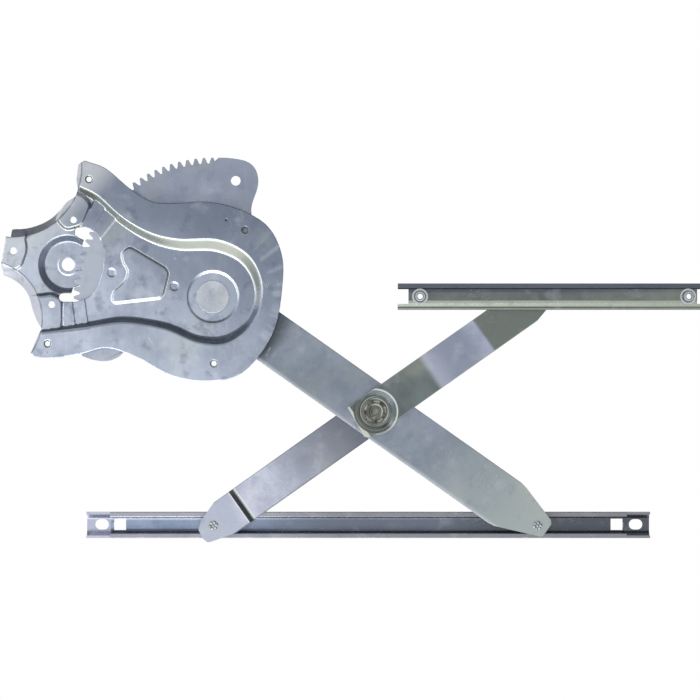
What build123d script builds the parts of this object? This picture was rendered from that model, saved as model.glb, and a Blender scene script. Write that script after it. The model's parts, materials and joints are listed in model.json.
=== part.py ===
from build123d import *
import math
import os

# Window regulator for a front door, scissor type, sold without its motor.
# Millimetres. The origin is the main pivot. +X points right, +Z up, and +Y away
# from the door's inner panel, so the mounting side faces -Y.
# It stands as it does in a door, with the window nearly down.

# Linkage
HALF_ARM = 189.0          # main pivot to cross pivot, and cross pivot to each equalizer pin
REST_ANGLE = 35.2         # lift arm below level
RUN_CLEARANCE = 0.05      # radial, on everything that turns
SEAT_CLEARANCE = 0.02     # radial, between pieces that are riveted or pressed together
FACE_GAP = 0.3            # between flat faces that pass each other
CHANNEL_GAP = 0.5         # from the lower arm's back to the glass channel
RAIL_GAP = 0.7            # from the upper arm's end to the fixed rail
THROUGH = 60.0            # depth of a cut that goes right through

# Base plate, a stamping
PLATE_WALL = 1.8
RECESS_DEPTH = 8.0        # bell-shaped recess behind the rim
PIVOT_DISH_R = 23.0
PIVOT_DISH_DEPTH = 1.4
DIMPLE_R = 3.8
DIMPLE_DEPTH = 1.2
DIMPLE_SLOPE = 1.0        # its floor is this much narrower
PANEL_RAISE = 1.6
MOTOR_PAD_RAISE = 4.0
STEP_RAISES = (2.4, 1.2)  # stairs from each motor pad down to the recess floor
TAB_RAISE = 2.5
PAD_CORNER = 5.0
STEP_CORNER = 0.5
PANEL_CORNER = 1.5
TAB_CORNER = 3.0
POCKET_R = 28.0           # motor pinion pocket, at the recess floor
POCKET_FLOOR_R = 22.0
POCKET_GAP = 1.0          # from the sector's back to the pocket floor
SHAFT_HOLE_R = 6.3        # for the tip of the motor's shaft
SHAFT_COLLAR_R = 10.0     # raised collar round that hole
SHAFT_COLLAR = 0.6
GEAR_TIP_GAP = 1.5        # from the sector's teeth to the pocket wall that they pass through
GEAR_BACK_GAP = 0.4
FLANGE_WIDTH = 12.0       # stiffening flange along the two hollow edges, before it is trimmed
FLANGE_BACK = 10.5
FORM_FLARE = 1.2          # how much wider a pressed form is behind the sheet
DIMPLE_FLARE = 0.8
MOUNT_HOLE_R = 3.4
MOTOR_HOLE_R = 3.0
PILOT_HOLE_R = 1.0

# Weld nuts for M6 bolts
NUT_FLATS = 10.0
NUT_HEIGHT = 5.0
NUT_BORE_R = 2.6

# Toothed sector
MODULE = 2.5
CIRCLE_TEETH = 104        # teeth on a full circle of this pitch
PINION_TEETH = 9          # on the motor, which is sold apart
SECTOR_TEETH = 33
FIRST_TOOTH = 90.25       # angle of the first tooth's middle
PRESSURE_ANGLE = 20.0
SECTOR_WALL = 2.5
SECTOR_HUB_R = 34.0
LOBE_HOLE_R = 4.6

# Arms
LIFT_WIDTH = 49.5
LIFT_WALL = 3.0
ROOT_R = 62.0             # round foot of the lift arm, riveted to the sector
RIVET_INSET = 12.0        # from the foot's edge
RIVET_SPREAD = 24.0
RIVET_R = 4.0
RIVET_HEAD_R = 6.5
RIVET_HEAD = 1.4
RIVET_SLOPE = 1.8
RIVET_FRONT_HEAD = 0.9
RIVET_FRONT_SLOPE = 1.2
EQUALIZER_WIDTH = 36.5
EQUALIZER_WALL = 2.5
UPPER_SET = 3.5           # upper arm stands this far in front of its dish floor
UPPER_RAMP = 3.0          # and its far end a little further forward
UPPER_RAMP_START = 64.0   # from the cross pivot
UPPER_RAMP_END = 130.0
LOWER_JOGGLE = 3.0        # the lower arm's end plate stands this far in front of its blade
JOGGLE_PLACE = 33.0       # from the lower pin
JOGGLE_HALF = 2.8
STRIP_SPARE = 30.0        # what is trimmed off past an equalizer arm's end
ARM_DISH_R = 20.6
ARM_DISH_FLOOR_R = 14.8
ARM_DISH_FLARE = 2.0
ARM_DISH_FLOOR_FLARE = 1.6
LOBE_EDGE_R = 22.8        # bulge of the upper arm beside the cross pivot

# Pivots
PIVOT_R = 8.0
PIVOT_FLANGE_R = 15.5
PIVOT_FLANGE = 1.2
PIVOT_HEAD_R = 12.0
PIVOT_HEAD = 1.3
BUSH_WALL = 1.5
BUSH_FLANGE = 0.8
BUSH_FLANGE_REACH = 2.5
CROSS_R = 9.0
CROSS_FLANGE_R = 12.6
CROSS_FLANGE = 1.3
CROSS_NOSE_R = 6.2
CROSS_NOSE = 3.0
CROSS_NOSE_SLOPE = 0.8
CROSS_DIMPLE_R = 3.2
CROSS_DIMPLE = 0.8
CRIMP_INNER_R = 7.4       # ring of petals crimped round the nose
CRIMP_OUTER_R = 11.4
CRIMP_HEIGHT = 1.3
CRIMP_SLIT = 1.9
CRIMP_PETALS = 8

# Rollers and their pins
ROLLER_R = 10.2
ROLLER_THICK = 6.0
ROLLER_PLAY = 0.5         # roller to flange
ROLLER_SIDE_PLAY = 0.6    # roller to lip and to web slope
ROLLER_GROOVE = 0.8       # in the front face
ROLLER_RIM = 1.6
ROLLER_HUB = 0.8          # past the pin's collar
JOURNAL_R = 4.0
COLLAR_R = 6.0
AXIAL_PLAY = 0.2
PIN_HEAD_R = 4.3
PIN_HEAD = 1.0
PIN_END_R = 6.0
PIN_END = 1.5

# Rolled rails: the glass channel below and the fixed rail above
RAIL_WALL = 1.8
LIP_WALL = 1.6
LIP_OPENING = 15.0
RAIL_CORNER = 0.7
SLOPE_DEPTH = 4.0         # the web stands back from the flanges on two slopes
WEB_HALF = 6.0
CHANNEL_LEFT = -121.9
CHANNEL_RIGHT = 417.5
CHANNEL_LIPS_LEFT = -99.0
CHANNEL_LIPS_RIGHT = 395.0
SLOT_LEFT = -107.6
SLOT_RIGHT = 404.6
SLOT_LENGTH = 13.0
SLOT_WIDTH = 10.0
WINDOW_LENGTH = 11.4
WINDOW_WIDTH = 10.9
STOP_TAB_WIDTH = 5.2
STOP_TAB_REACH = 6.5
STOP_LEFT = -96.0
STOP_RIGHT = 392.0
RAIL_LEFT = 175.6
RAIL_RIGHT = 462.2
RAIL_NOTCH_LEFT = 10.0
RAIL_NOTCH_RIGHT = 4.0
RAIL_NOTCH_WIDTH = 13.8
RAIL_NUT_LEFT = 196.5
RAIL_NUT_RIGHT = 449.5
RAIL_NUT_FLANGE_R = 7.5
RAIL_NUT_FLANGE = 1.5
RAIL_NUT_HEX = 5.0
RAIL_NUT_NOSE_R = 4.0
RAIL_NUT_NOSE = 3.5

# Places on the base plate, as (x, z)
MOUNTS = ((-117.1, 111.4), (-156.4, -44.5), (1.4, -63.3), (30.9, 63.3))
MOTOR_SCREWS = ((-189.2, 43.1), (-132.0, 72.6), (-152.8, -7.9))
DIMPLES = ((-96.2, 23.0), (-36.5, 10.0))
PILOT_HOLE = (13.0, 72.7)
LOBE_HOLE = (21.7, 110.5)
PINION_ANGLE = 167.5

# Depths from the rim's front face, worked out from the walls above
RECESS_FRONT = RECESS_DEPTH
RECESS_BACK = RECESS_FRONT + PLATE_WALL
DISH_FRONT = RECESS_FRONT + PIVOT_DISH_DEPTH
SECTOR_FRONT = DISH_FRONT + PLATE_WALL + FACE_GAP
LIFT_FRONT = SECTOR_FRONT + SECTOR_WALL
LIFT_BACK = LIFT_FRONT + LIFT_WALL
PIVOT_HEAD_FRONT = LIFT_BACK + BUSH_FLANGE + AXIAL_PLAY
PIVOT_END = PIVOT_HEAD_FRONT + PIVOT_HEAD
UPPER_DISH_FRONT = LIFT_FRONT - FACE_GAP - EQUALIZER_WALL
UPPER_FRONT = UPPER_DISH_FRONT - UPPER_SET
UPPER_END_FRONT = UPPER_FRONT - UPPER_RAMP
LOWER_DISH_FRONT = LIFT_BACK + FACE_GAP
LOWER_END_FRONT = PIVOT_END + FACE_GAP + PIN_HEAD  # its pin passes behind the main pivot
LOWER_FRONT = LOWER_END_FRONT + LOWER_JOGGLE
POCKET_FRONT = LIFT_FRONT + POCKET_GAP
PITCH_R = MODULE * CIRCLE_TEETH / 2
TIP_R = PITCH_R + MODULE
ROOT_CIRCLE_R = PITCH_R - 1.25 * MODULE
PINION_DISTANCE = MODULE * (CIRCLE_TEETH + PINION_TEETH) / 2
RIVET_CIRCLE_R = ROOT_R - RIVET_INSET

# Rail section, worked out from the roller
RAIL_INNER = ROLLER_R + ROLLER_PLAY
RAIL_OUTER = RAIL_INNER + RAIL_WALL
ROLLER_ROOM = ROLLER_THICK + 2 * ROLLER_SIDE_PLAY
RAIL_DEPTH = LIP_WALL + ROLLER_ROOM + SLOPE_DEPTH + RAIL_WALL
CHANNEL_FRONT = LOWER_FRONT + EQUALIZER_WALL + CHANNEL_GAP
RAIL_BACK = UPPER_END_FRONT - RAIL_GAP
CHANNEL_ROLLER_FRONT = CHANNEL_FRONT + LIP_WALL + ROLLER_SIDE_PLAY
RAIL_ROLLER_FRONT = RAIL_BACK - LIP_WALL - ROLLER_SIDE_PLAY - ROLLER_THICK

# Pivot places at rest
ANGLE = math.radians(REST_ANGLE)
CROSS = (HALF_ARM * math.cos(ANGLE), -HALF_ARM * math.sin(ANGLE))
LIFT_END = (2 * CROSS[0], 2 * CROSS[1])
UPPER_END = (2 * CROSS[0], 0.0)
LOWER_END = (0.0, 2 * CROSS[1])
PINION = (
    PINION_DISTANCE * math.cos(math.radians(PINION_ANGLE)),
    PINION_DISTANCE * math.sin(math.radians(PINION_ANGLE)),
)


def facing(depth):
    """Drawing plane at a depth, seen from the mounting side: x is X and y is Z."""
    return Plane(origin=(0, depth, 0), x_dir=(1, 0, 0), z_dir=(0, -1, 0))


def sheet(profile, front, back):
    """Solid between two depths with the profile's outline."""
    return extrude(facing(front) * profile, amount=back - front, dir=(0, 1, 0))


def polygon(points):
    """Face with straight edges, with its front up whichever way its points run."""
    pairs = zip(points, points[1:] + points[:1])
    turning = sum(a[0] * b[1] - b[0] * a[1] for a, b in pairs)
    ordered = points if turning > 0 else points[::-1]
    return Polygon(*ordered, align=None)


def closed(*edges):
    """Face inside a closed run of edges, with its front up."""
    face = make_face(Curve() + list(edges))
    return face if face.face().normal_at().Z > 0 else -face.face()


def disc(place, radius):
    """Round face at a place."""
    return Pos(place[0], place[1]) * Circle(radius)


def rod(place, radius, front, back):
    """Cylinder along Y between two depths."""
    return sheet(disc(place, radius), front, back)


def frustum(place, front_r, back_r, front, back):
    """Cone frustum along Y between two depths."""
    middle = Pos(place[0], (front + back) / 2, place[1])
    return middle * Rot(-90, 0, 0) * Cone(front_r, back_r, back - front)


def tube(place, outer, inner, front, back):
    """Hollow cylinder along Y."""
    return sheet(disc(place, outer) - disc(place, inner), front, back)


def hexagon(place, flats):
    """Hexagonal face with two flats upright."""
    return Pos(place[0], place[1]) * RegularPolygon(flats / 2, 6, major_radius=False)


def polar(radius, degrees):
    """Point at a radius and an angle from +X towards +Z."""
    turn = math.radians(degrees)
    return (radius * math.cos(turn), radius * math.sin(turn))


def on_lift_arm(solid):
    """Carry a solid drawn along +X from the main pivot to the lift arm's rest pose."""
    return Rot(0, REST_ANGLE, 0) * solid


def on_equalizer(solid):
    """Carry a solid drawn along +X about the cross pivot to the equalizer's rest pose."""
    return Pos(CROSS[0], 0, CROSS[1]) * Rot(0, -REST_ANGLE, 0) * solid


def bent_strip(stations, wall, width):
    """Strip of sheet whose front face runs through the stations (x, y)."""
    back = [(x, y + wall) for x, y in reversed(stations)]
    side = polygon(stations + back)
    return extrude(side, amount=width / 2, both=True)


# Base plate

TOP_LEFT_EAR = ((-129.0, 95.7), (-127.8, 103.0), (-129.0, 112.1), (-127.2, 125.7))
PLATE_EDGE = (
    (-121.0, 129.0), (-100.9, 121.5), (-78.1, 102.5), (-57.1, 90.0), (-35.2, 88.7),
    (-6.1, 89.9), (23.0, 83.8), (50.5, 68.7), (64.5, 44.6), (66.8, 15.0), (57.7, -33.7),
    (28.6, -72.0), (-6.1, -80.4), (-38.8, -75.2), (-68.0, -59.5), (-99.0, -48.7),
    (-126.2, -54.6), (-155.5, -58.8), (-167.3, -57.3),
)
LOW_LEFT_EAR = ((-172.2, -53.3), (-165.5, -37.3), (-162.3, -30.9))
TAB_LOW = (-201.0, 32.4)
TAB_HIGH = (-196.4, 57.3)
LOW_HOLLOW = ((-217.9, -21.1), 56.3, -10.0, 72.5)    # centre, radius, first and last angle
HIGH_HOLLOW = ((-190.1, 123.2), 66.4, -91.0, -24.5)
LOW_FLANGE = (-8.0, 72.0)                            # first and last angle
HIGH_FLANGE = (-90.0, -26.0)
LOW_FLANGE_EDGE = (
    (-161.0, -31.0), (-167.3, -22.8), (-171.8, -13.6), (-174.5, -1.0), (-180.9, 10.1), (-191.8, 18.3),
    (-203.0, 21.0),
)
HIGH_FLANGE_EDGE = (
    (-193.0, 65.5), (-179.1, 65.0), (-166.3, 67.4), (-155.5, 72.0), (-148.1, 79.3), (-140.9, 88.4),
    (-129.0, 95.7),
)

BELL_RIM = (
    (-150.0, 117.0), (-127.0, 105.0), (-108.0, 96.0), (-86.0, 76.0), (-60.0, 61.5),
    (-33.0, 55.6), (6.7, 55.0), (36.0, 39.0), (48.0, 10.0), (41.0, -21.0), (16.0, -43.0),
    (-13.0, -43.0), (-46.0, -30.0), (-84.0, -23.6), (-121.0, -28.0), (-162.0, -33.0),
    (-185.0, -36.0),
)
BELL_FLOOR = (
    (-142.0, 108.0), (-119.0, 95.5), (-104.0, 83.0), (-80.0, 63.5), (-56.0, 50.0),
    (-31.0, 43.3), (2.0, 42.0), (27.5, 30.0), (39.5, 6.0), (33.5, -20.0), (12.5, -35.5),
    (-13.0, -36.5), (-43.0, -24.5), (-84.0, -19.0), (-117.0, -24.0), (-155.0, -29.0),
    (-185.0, -32.0),
)
BELL_OPEN_END = -235.0

PANEL = (
    (-80.5, 46.6), (-77.0, 46.6), (-44.8, 27.6), (-41.9, 22.5), (-47.0, 2.5), (-50.0, -1.2),
    (-93.5, -6.0), (-96.0, -2.0), (-94.0, 5.0), (-83.0, 15.0), (-80.0, 24.0), (-85.5, 33.5),
    (-86.5, 42.0),
)
HIGH_PAD = (
    (-148.5, 73.0), (-131.0, 99.0), (-117.0, 88.5), (-115.5, 84.0), (-123.8, 67.6), (-139.5, 63.5),
)
LOW_PAD = (
    (-166.0, 0.5), (-152.0, 3.5), (-143.0, -1.8), (-142.6, -25.5), (-147.0, -31.0), (-166.0, -31.5),
)
HIGH_STAIRS = (
    ((-129.0, 61.0), (-112.0, 88.0), (-103.8, 79.0), (-117.5, 59.5)),
    ((-117.5, 59.5), (-103.8, 79.0), (-94.3, 73.3), (-110.2, 50.6)),
)
LOW_STAIRS = (
    ((-142.6, -1.5), (-142.6, -28.5), (-130.0, -27.0), (-133.3, -1.5)),
    ((-133.3, -1.5), (-130.0, -27.0), (-118.5, -24.0), (-122.3, 2.4)),
)
TAB_PAD = (
    (-212.0, 25.0), (-186.0, 26.7), (-178.0, 40.0), (-177.5, 49.5), (-180.5, 60.0), (-212.0, 62.0),
)
GEAR_WINDOW = (
    (-130.4, 65.7), (-118.5, 65.7), (-108.6, 58.6), (-103.4, 44.0), (-104.4, 26.0),
    (-109.0, 10.6), (-116.0, 0.4), (-128.5, -4.8), (-145.7, -4.8), (-145.7, 4.3),
    (-128.0, 4.3), (-128.0, 57.1), (-130.4, 57.1),
)


def hollow_arc(hollow, first, last):
    """Arc along a hollow edge, from one angle to another."""
    (x, z), radius = hollow[0], hollow[1]
    points = []
    for turn in (first, (first + last) / 2, last):
        dx, dz = polar(radius, turn)
        points.append((x + dx, z + dz))
    return ThreePointArc(*points)


def plate_outline():
    """Outline of the base plate without its two flanges."""
    high = hollow_arc(HIGH_HOLLOW, HIGH_HOLLOW[2], HIGH_HOLLOW[3])
    low = hollow_arc(LOW_HOLLOW, LOW_HOLLOW[2], LOW_HOLLOW[3])
    ear = Spline(high @ 1, *TOP_LEFT_EAR[1:])
    edge = Spline(*PLATE_EDGE)
    corner = Line(ear @ 1, edge @ 0)
    toe = Line(edge @ 1, LOW_LEFT_EAR[0])
    heel = Spline(*LOW_LEFT_EAR[:-1], low @ 0)
    tab = Polyline(low @ 1, TAB_HIGH, high @ 0)
    return closed(high, ear, corner, edge, toe, heel, low, tab)


def grown(points, amount):
    """Points of an open curve moved to its left by an amount."""
    moved = []
    for index, (x, z) in enumerate(points):
        before = points[max(index - 1, 0)]
        after = points[min(index + 1, len(points) - 1)]
        dx, dz = after[0] - before[0], after[1] - before[1]
        reach = math.hypot(dx, dz)
        moved.append((x - amount * dz / reach, z + amount * dx / reach))
    return moved


def bell_face(points):
    """Bell-shaped face through the points, open past the plate's left edge."""
    first, last = points[0], points[-1]
    close = Polyline(last, (BELL_OPEN_END, last[1]), (BELL_OPEN_END, first[1]), first)
    return closed(Spline(*points), close)


def bell_form(grow, front, back):
    """Solid that fills the bell-shaped recess between two depths."""
    mouth = facing(front) * bell_face(grown(BELL_RIM, grow))
    floor = facing(back) * bell_face(grown(BELL_FLOOR, grow))
    return loft([mouth, floor])


def raise_pad(plate, outline, height, corner, hollow=None):
    """Press a pad of the recess floor forward by a height, as sheet. A hollow edge may bound it."""
    pad = fillet(polygon(outline).vertices(), corner)
    if hollow:
        pad -= disc(hollow[0], hollow[1])
    face = RECESS_FRONT - height
    plate += sheet(pad, face, RECESS_BACK)
    plate -= sheet(offset(pad, amount=-PLATE_WALL), face + PLATE_WALL, THROUGH)
    return plate


def hollow_flange(hollow, span, edge):
    """Stiffening flange that flares outwards and back along a hollow edge, trimmed to its own edge."""
    (x, z), radius = hollow[0], hollow[1]
    first, last = span
    inland = [(x + dx, z + dz) for dx, dz in (polar(1.6 * radius, last), polar(1.6 * radius, first))]
    blank = closed(Spline(*edge), Polyline(edge[-1], *inland, edge[0]))
    lean = PLATE_WALL * FLANGE_WIDTH / math.hypot(FLANGE_WIDTH, FLANGE_BACK)
    section = polygon([
        (radius + PLATE_WALL, RECESS_FRONT),
        (radius, RECESS_FRONT),
        (radius - FLANGE_WIDTH, RECESS_FRONT + FLANGE_BACK),
        (radius - FLANGE_WIDTH + lean / 2, RECESS_FRONT + FLANGE_BACK + lean),
        (radius - 0.2, RECESS_BACK),
        (radius + PLATE_WALL, RECESS_BACK),
    ])
    turn = math.radians(last)
    start = Plane(
        origin=(x, 0, z),
        x_dir=(math.cos(turn), 0, math.sin(turn)),
        z_dir=(-math.sin(turn), 0, math.cos(turn)),
    )
    flange = revolve(start * section, axis=Axis((x, 0, z), (0, 1, 0)), revolution_arc=last - first)
    return flange & sheet(blank, 0, THROUGH)


def base_plate():
    """Stamped plate that carries the pivot, the motor and the door bolts."""
    outline = plate_outline()
    plate = sheet(outline, 0, PLATE_WALL)
    recess = bell_form(FORM_FLARE, PLATE_WALL / 2, RECESS_BACK)
    plate += recess & sheet(outline, 0, RECESS_BACK)
    plate -= bell_form(0, 0, RECESS_FRONT)

    for pad, hollow in ((HIGH_PAD, HIGH_HOLLOW), (LOW_PAD, LOW_HOLLOW)):
        plate = raise_pad(plate, pad, MOTOR_PAD_RAISE, PAD_CORNER, hollow)
    for stairs in (HIGH_STAIRS, LOW_STAIRS):
        for step, height in zip(stairs, STEP_RAISES):
            plate = raise_pad(plate, step, height, STEP_CORNER)
    plate = raise_pad(plate, PANEL, PANEL_RAISE, PANEL_CORNER)
    tab = fillet(polygon(TAB_PAD).vertices(), TAB_CORNER)
    plate += sheet(tab & outline, RECESS_FRONT - TAB_RAISE, RECESS_BACK)
    plate -= sheet(offset(tab, amount=-PLATE_WALL), RECESS_BACK - TAB_RAISE, THROUGH)
    plate &= sheet(outline, 0, THROUGH)

    pocket_back = POCKET_FRONT + PLATE_WALL
    plate += frustum(PINION, POCKET_R + FORM_FLARE, POCKET_FLOOR_R + FORM_FLARE, RECESS_FRONT, pocket_back)
    plate -= frustum(PINION, POCKET_R, POCKET_FLOOR_R, RECESS_FRONT, POCKET_FRONT)
    plate -= rod(PINION, POCKET_R, 0, RECESS_FRONT)
    plate += rod(PINION, SHAFT_COLLAR_R, POCKET_FRONT - SHAFT_COLLAR, POCKET_FRONT)
    pocket_box = Pos(PINION[0], PINION[1]) * Rectangle(2.2 * POCKET_R, 2.6 * POCKET_R)
    gear_room = disc((0, 0), TIP_R + GEAR_TIP_GAP) & pocket_box
    plate -= sheet(gear_room, RECESS_BACK, LIFT_FRONT + GEAR_BACK_GAP)
    plate -= sheet(polygon(GEAR_WINDOW), 0, LIFT_FRONT + GEAR_BACK_GAP)

    plate += hollow_flange(HIGH_HOLLOW, HIGH_FLANGE, HIGH_FLANGE_EDGE)
    plate += hollow_flange(LOW_HOLLOW, LOW_FLANGE, LOW_FLANGE_EDGE)

    dish_back = DISH_FRONT + PLATE_WALL
    plate += rod((0, 0), PIVOT_DISH_R + FORM_FLARE, RECESS_FRONT, dish_back)
    plate -= rod((0, 0), PIVOT_DISH_R, 0, DISH_FRONT)
    plate -= rod((0, 0), PIVOT_R + SEAT_CLEARANCE, 0, THROUGH)
    bottom = RECESS_FRONT + DIMPLE_DEPTH
    back_r = DIMPLE_R + DIMPLE_FLARE
    mid_wall = RECESS_FRONT + PLATE_WALL / 2
    for place in DIMPLES:
        plate += frustum(place, back_r, back_r - DIMPLE_SLOPE, mid_wall, bottom + PLATE_WALL)
        plate -= frustum(place, DIMPLE_R, DIMPLE_R - DIMPLE_SLOPE, RECESS_FRONT, bottom)
    for place in MOUNTS:
        plate -= rod(place, MOUNT_HOLE_R, 0, THROUGH)
    for place in MOTOR_SCREWS:
        plate -= rod(place, MOTOR_HOLE_R, 0, THROUGH)
    plate -= rod(PILOT_HOLE, PILOT_HOLE_R, 0, THROUGH)
    plate -= rod(PINION, SHAFT_HOLE_R, 0, THROUGH)
    return plate


def weld_nuts():
    """Four M6 nuts welded behind the rim."""
    nuts = []
    for place in MOUNTS:
        profile = hexagon(place, NUT_FLATS) - disc(place, NUT_BORE_R)
        nuts.append(sheet(profile, PLATE_WALL, PLATE_WALL + NUT_HEIGHT))
    return nuts


def pivot_pin():
    """Main pivot, with a wide flush head in the dish and a peened end."""
    pin = rod((0, 0), PIVOT_FLANGE_R, DISH_FRONT - PIVOT_FLANGE, DISH_FRONT)
    pin += rod((0, 0), PIVOT_R, DISH_FRONT - PIVOT_FLANGE, PIVOT_END)
    pin += rod((0, 0), PIVOT_HEAD_R, PIVOT_HEAD_FRONT, PIVOT_END)
    return pin


def flanged_bush(place, inner, front, back, flange):
    """Bush pressed into an arm, with its flange behind the arm."""
    outer = inner + BUSH_WALL
    bush = tube(place, outer, inner, front, back)
    if flange > 0:
        bush += tube(place, outer + BUSH_FLANGE_REACH, inner, back, back + flange)
    return bush


def pivot_bush():
    """Bush of the main pivot, through the sector and the lift arm."""
    return flanged_bush((0, 0), PIVOT_R + RUN_CLEARANCE, SECTOR_FRONT, LIFT_BACK, BUSH_FLANGE)


def cross_bush():
    """Plain bush of the cross pivot, in the lift arm."""
    return flanged_bush(CROSS, CROSS_R + RUN_CLEARANCE, LIFT_FRONT, LIFT_BACK, 0)


# Toothed sector

LOBE_EDGE = ((28.8, 130.0), (41.9, 118.3), (42.5, 104.3), (37.5, 89.2), (36.8, 79.0))
LUG_EDGE = ((-124.4, -56.5), (-112.3, -60.5), (-103.5, -61.4), (-84.3, -52.0))
LUG_ANGLES = (200.0, 203.0)
LUG_RISE = 3.5            # past the tip circle


def tooth_row():
    """Face between the hub and the toothed edge."""
    pitch = 360.0 / CIRCLE_TEETH
    lean = math.tan(math.radians(PRESSURE_ANGLE))
    half_tooth = math.pi * MODULE / 4
    tip_half = math.degrees((half_tooth - (TIP_R - PITCH_R) * lean) / TIP_R)
    root_half = math.degrees((half_tooth + (PITCH_R - ROOT_CIRCLE_R) * lean) / ROOT_CIRCLE_R)
    points = []
    for tooth in range(SECTOR_TEETH):
        middle = FIRST_TOOTH + tooth * pitch
        points.append(polar(ROOT_CIRCLE_R, middle - root_half))
        points.append(polar(TIP_R, middle - tip_half))
        points.append(polar(TIP_R, middle + tip_half))
        points.append(polar(ROOT_CIRCLE_R, middle + root_half))
    return polygon([(0, 0)] + points)


def sector_gear():
    """Toothed sector, with a rounded lobe past its first tooth and a stop lug past its last."""
    first = FIRST_TOOTH - 3.5
    lobe_start = polar(TIP_R, first + 1.0)
    lobe_root = polar(ROOT_CIRCLE_R, FIRST_TOOTH)
    lobe = closed(
        ThreePointArc(lobe_start, polar(TIP_R + 0.6, first - 4.0), LOBE_EDGE[0]),
        Spline(*LOBE_EDGE),
        Polyline(LOBE_EDGE[-1], (SECTOR_HUB_R - 4, 16.0), (-20, 0), lobe_root, lobe_start),
    )
    lug_start = polar(ROOT_CIRCLE_R, LUG_ANGLES[0])
    lug_tip = polar(TIP_R + LUG_RISE, LUG_ANGLES[1])
    lug = closed(
        Polyline((0, 0), lug_start, lug_tip, LUG_EDGE[0]),
        Spline(*LUG_EDGE),
        Polyline(LUG_EDGE[-1], (-10.0, -SECTOR_HUB_R + 4), (0, 0)),
    )
    profile = tooth_row() + lobe + lug + disc((0, 0), SECTOR_HUB_R)
    profile -= disc(LOBE_HOLE, LOBE_HOLE_R)
    bore = PIVOT_R + RUN_CLEARANCE + BUSH_WALL + SEAT_CLEARANCE
    profile -= disc((0, 0), bore)
    gear = sheet(profile, SECTOR_FRONT, LIFT_FRONT)
    holes = [rod(place, RIVET_R + SEAT_CLEARANCE, 0, THROUGH) for place in rivet_places()]
    return gear - [on_lift_arm(hole) for hole in holes]


# Lift arm

def rivet_places():
    """Places of the foot's rivets, on the arm drawn along +X."""
    return [polar(RIVET_CIRCLE_R, 180 + spread) for spread in (-RIVET_SPREAD, 0, RIVET_SPREAD)]


def lift_arm():
    """Lift arm with a round riveted foot and a tapered nose."""
    half = LIFT_WIDTH / 2
    reach = 2 * HALF_ARM
    nose = (
        (reach - 36.0, half), (reach - 29.5, half - 1.2), (reach + 7.3, 12.0), (reach + 10.0, 9.0),
        (reach + 10.0, -5.0), (reach + 7.5, -7.0), (reach - 33.4, -half + 1.0), (reach - 40.0, -half),
    )
    blade = polygon([(0, half), *nose, (0, -half)])
    foot = polygon([(1, half), (1, -half), (-ROOT_R - 5, -half - 7), (-ROOT_R - 5, half + 7)])
    profile = blade + (foot & disc((0, 0), ROOT_R))
    profile -= disc((0, 0), PIVOT_R + RUN_CLEARANCE + BUSH_WALL + SEAT_CLEARANCE)
    profile -= disc((HALF_ARM, 0), CROSS_R + RUN_CLEARANCE + BUSH_WALL + SEAT_CLEARANCE)
    profile -= disc((reach, 0), JOURNAL_R + SEAT_CLEARANCE)
    for place in rivet_places():
        profile -= disc(place, RIVET_R + SEAT_CLEARANCE)
    return on_lift_arm(sheet(profile, LIFT_FRONT, LIFT_BACK))


def arm_rivets():
    """Three rivets that hold the sector to the lift arm's foot."""
    front, back = SECTOR_FRONT - RIVET_FRONT_HEAD, LIFT_BACK + RIVET_HEAD
    rivets = []
    for place in rivet_places():
        rivet = rod(place, RIVET_R, front, back)
        rivet += frustum(place, RIVET_HEAD_R - RIVET_FRONT_SLOPE, RIVET_HEAD_R, front, SECTOR_FRONT)
        rivet += frustum(place, RIVET_HEAD_R, RIVET_HEAD_R - RIVET_SLOPE, LIFT_BACK, back)
        rivets.append(on_lift_arm(rivet))
    return rivets


# Equalizer

def end_plate(direction):
    """Outline of an equalizer arm's tapered end, about a pin at HALF_ARM."""
    reach = HALF_ARM
    half = EQUALIZER_WIDTH / 2
    points = (
        (0, half), (reach - 13.0, half - 0.6), (reach - 3.0, 14.1), (reach + 7.0, 10.7), (reach + 14.0, 4.8),
        (reach + 15.5, -4.2), (reach + 14.0, -9.8), (reach + 11.0, -11.5), (reach + 3.4, -13.6),
        (reach - 14.0, -half), (0, -half),
    )
    return polygon([(direction * x, z) for x, z in points])


def equalizer_upper_arm():
    """Upper arm of the equalizer, in front of the lift arm."""
    front = UPPER_FRONT
    stations = [
        (-EQUALIZER_WIDTH, front), (UPPER_RAMP_START, front),
        (UPPER_RAMP_END, UPPER_END_FRONT), (HALF_ARM + STRIP_SPARE, UPPER_END_FRONT),
    ]
    plan = end_plate(1)
    half = EQUALIZER_WIDTH / 2
    plan += polygon([(-19.3, half), (1, half), (1, -half), (-16.0, -half), (-22.5, -13.5)])
    bulge = polygon([(-22.5, -13.5), (0, 0), (16.0, -half + 1), (16.0, -30.0), (-30.0, -30.0)])
    plan += disc((0, 0), LOBE_EDGE_R) & bulge
    arm = bent_strip(stations, EQUALIZER_WALL, 2 * EQUALIZER_WIDTH)
    dish_back = UPPER_DISH_FRONT + EQUALIZER_WALL
    back_r = ARM_DISH_FLOOR_R + ARM_DISH_FLOOR_FLARE
    arm += frustum((0, 0), ARM_DISH_R + ARM_DISH_FLARE, back_r, front, dish_back)
    arm -= frustum((0, 0), ARM_DISH_R, ARM_DISH_FLOOR_R, front, UPPER_DISH_FRONT)
    arm &= sheet(plan, 0, THROUGH)
    arm -= rod((0, 0), CROSS_R + SEAT_CLEARANCE, 0, THROUGH)
    arm -= rod((HALF_ARM, 0), JOURNAL_R + SEAT_CLEARANCE, 0, THROUGH)
    return on_equalizer(arm)


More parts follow.
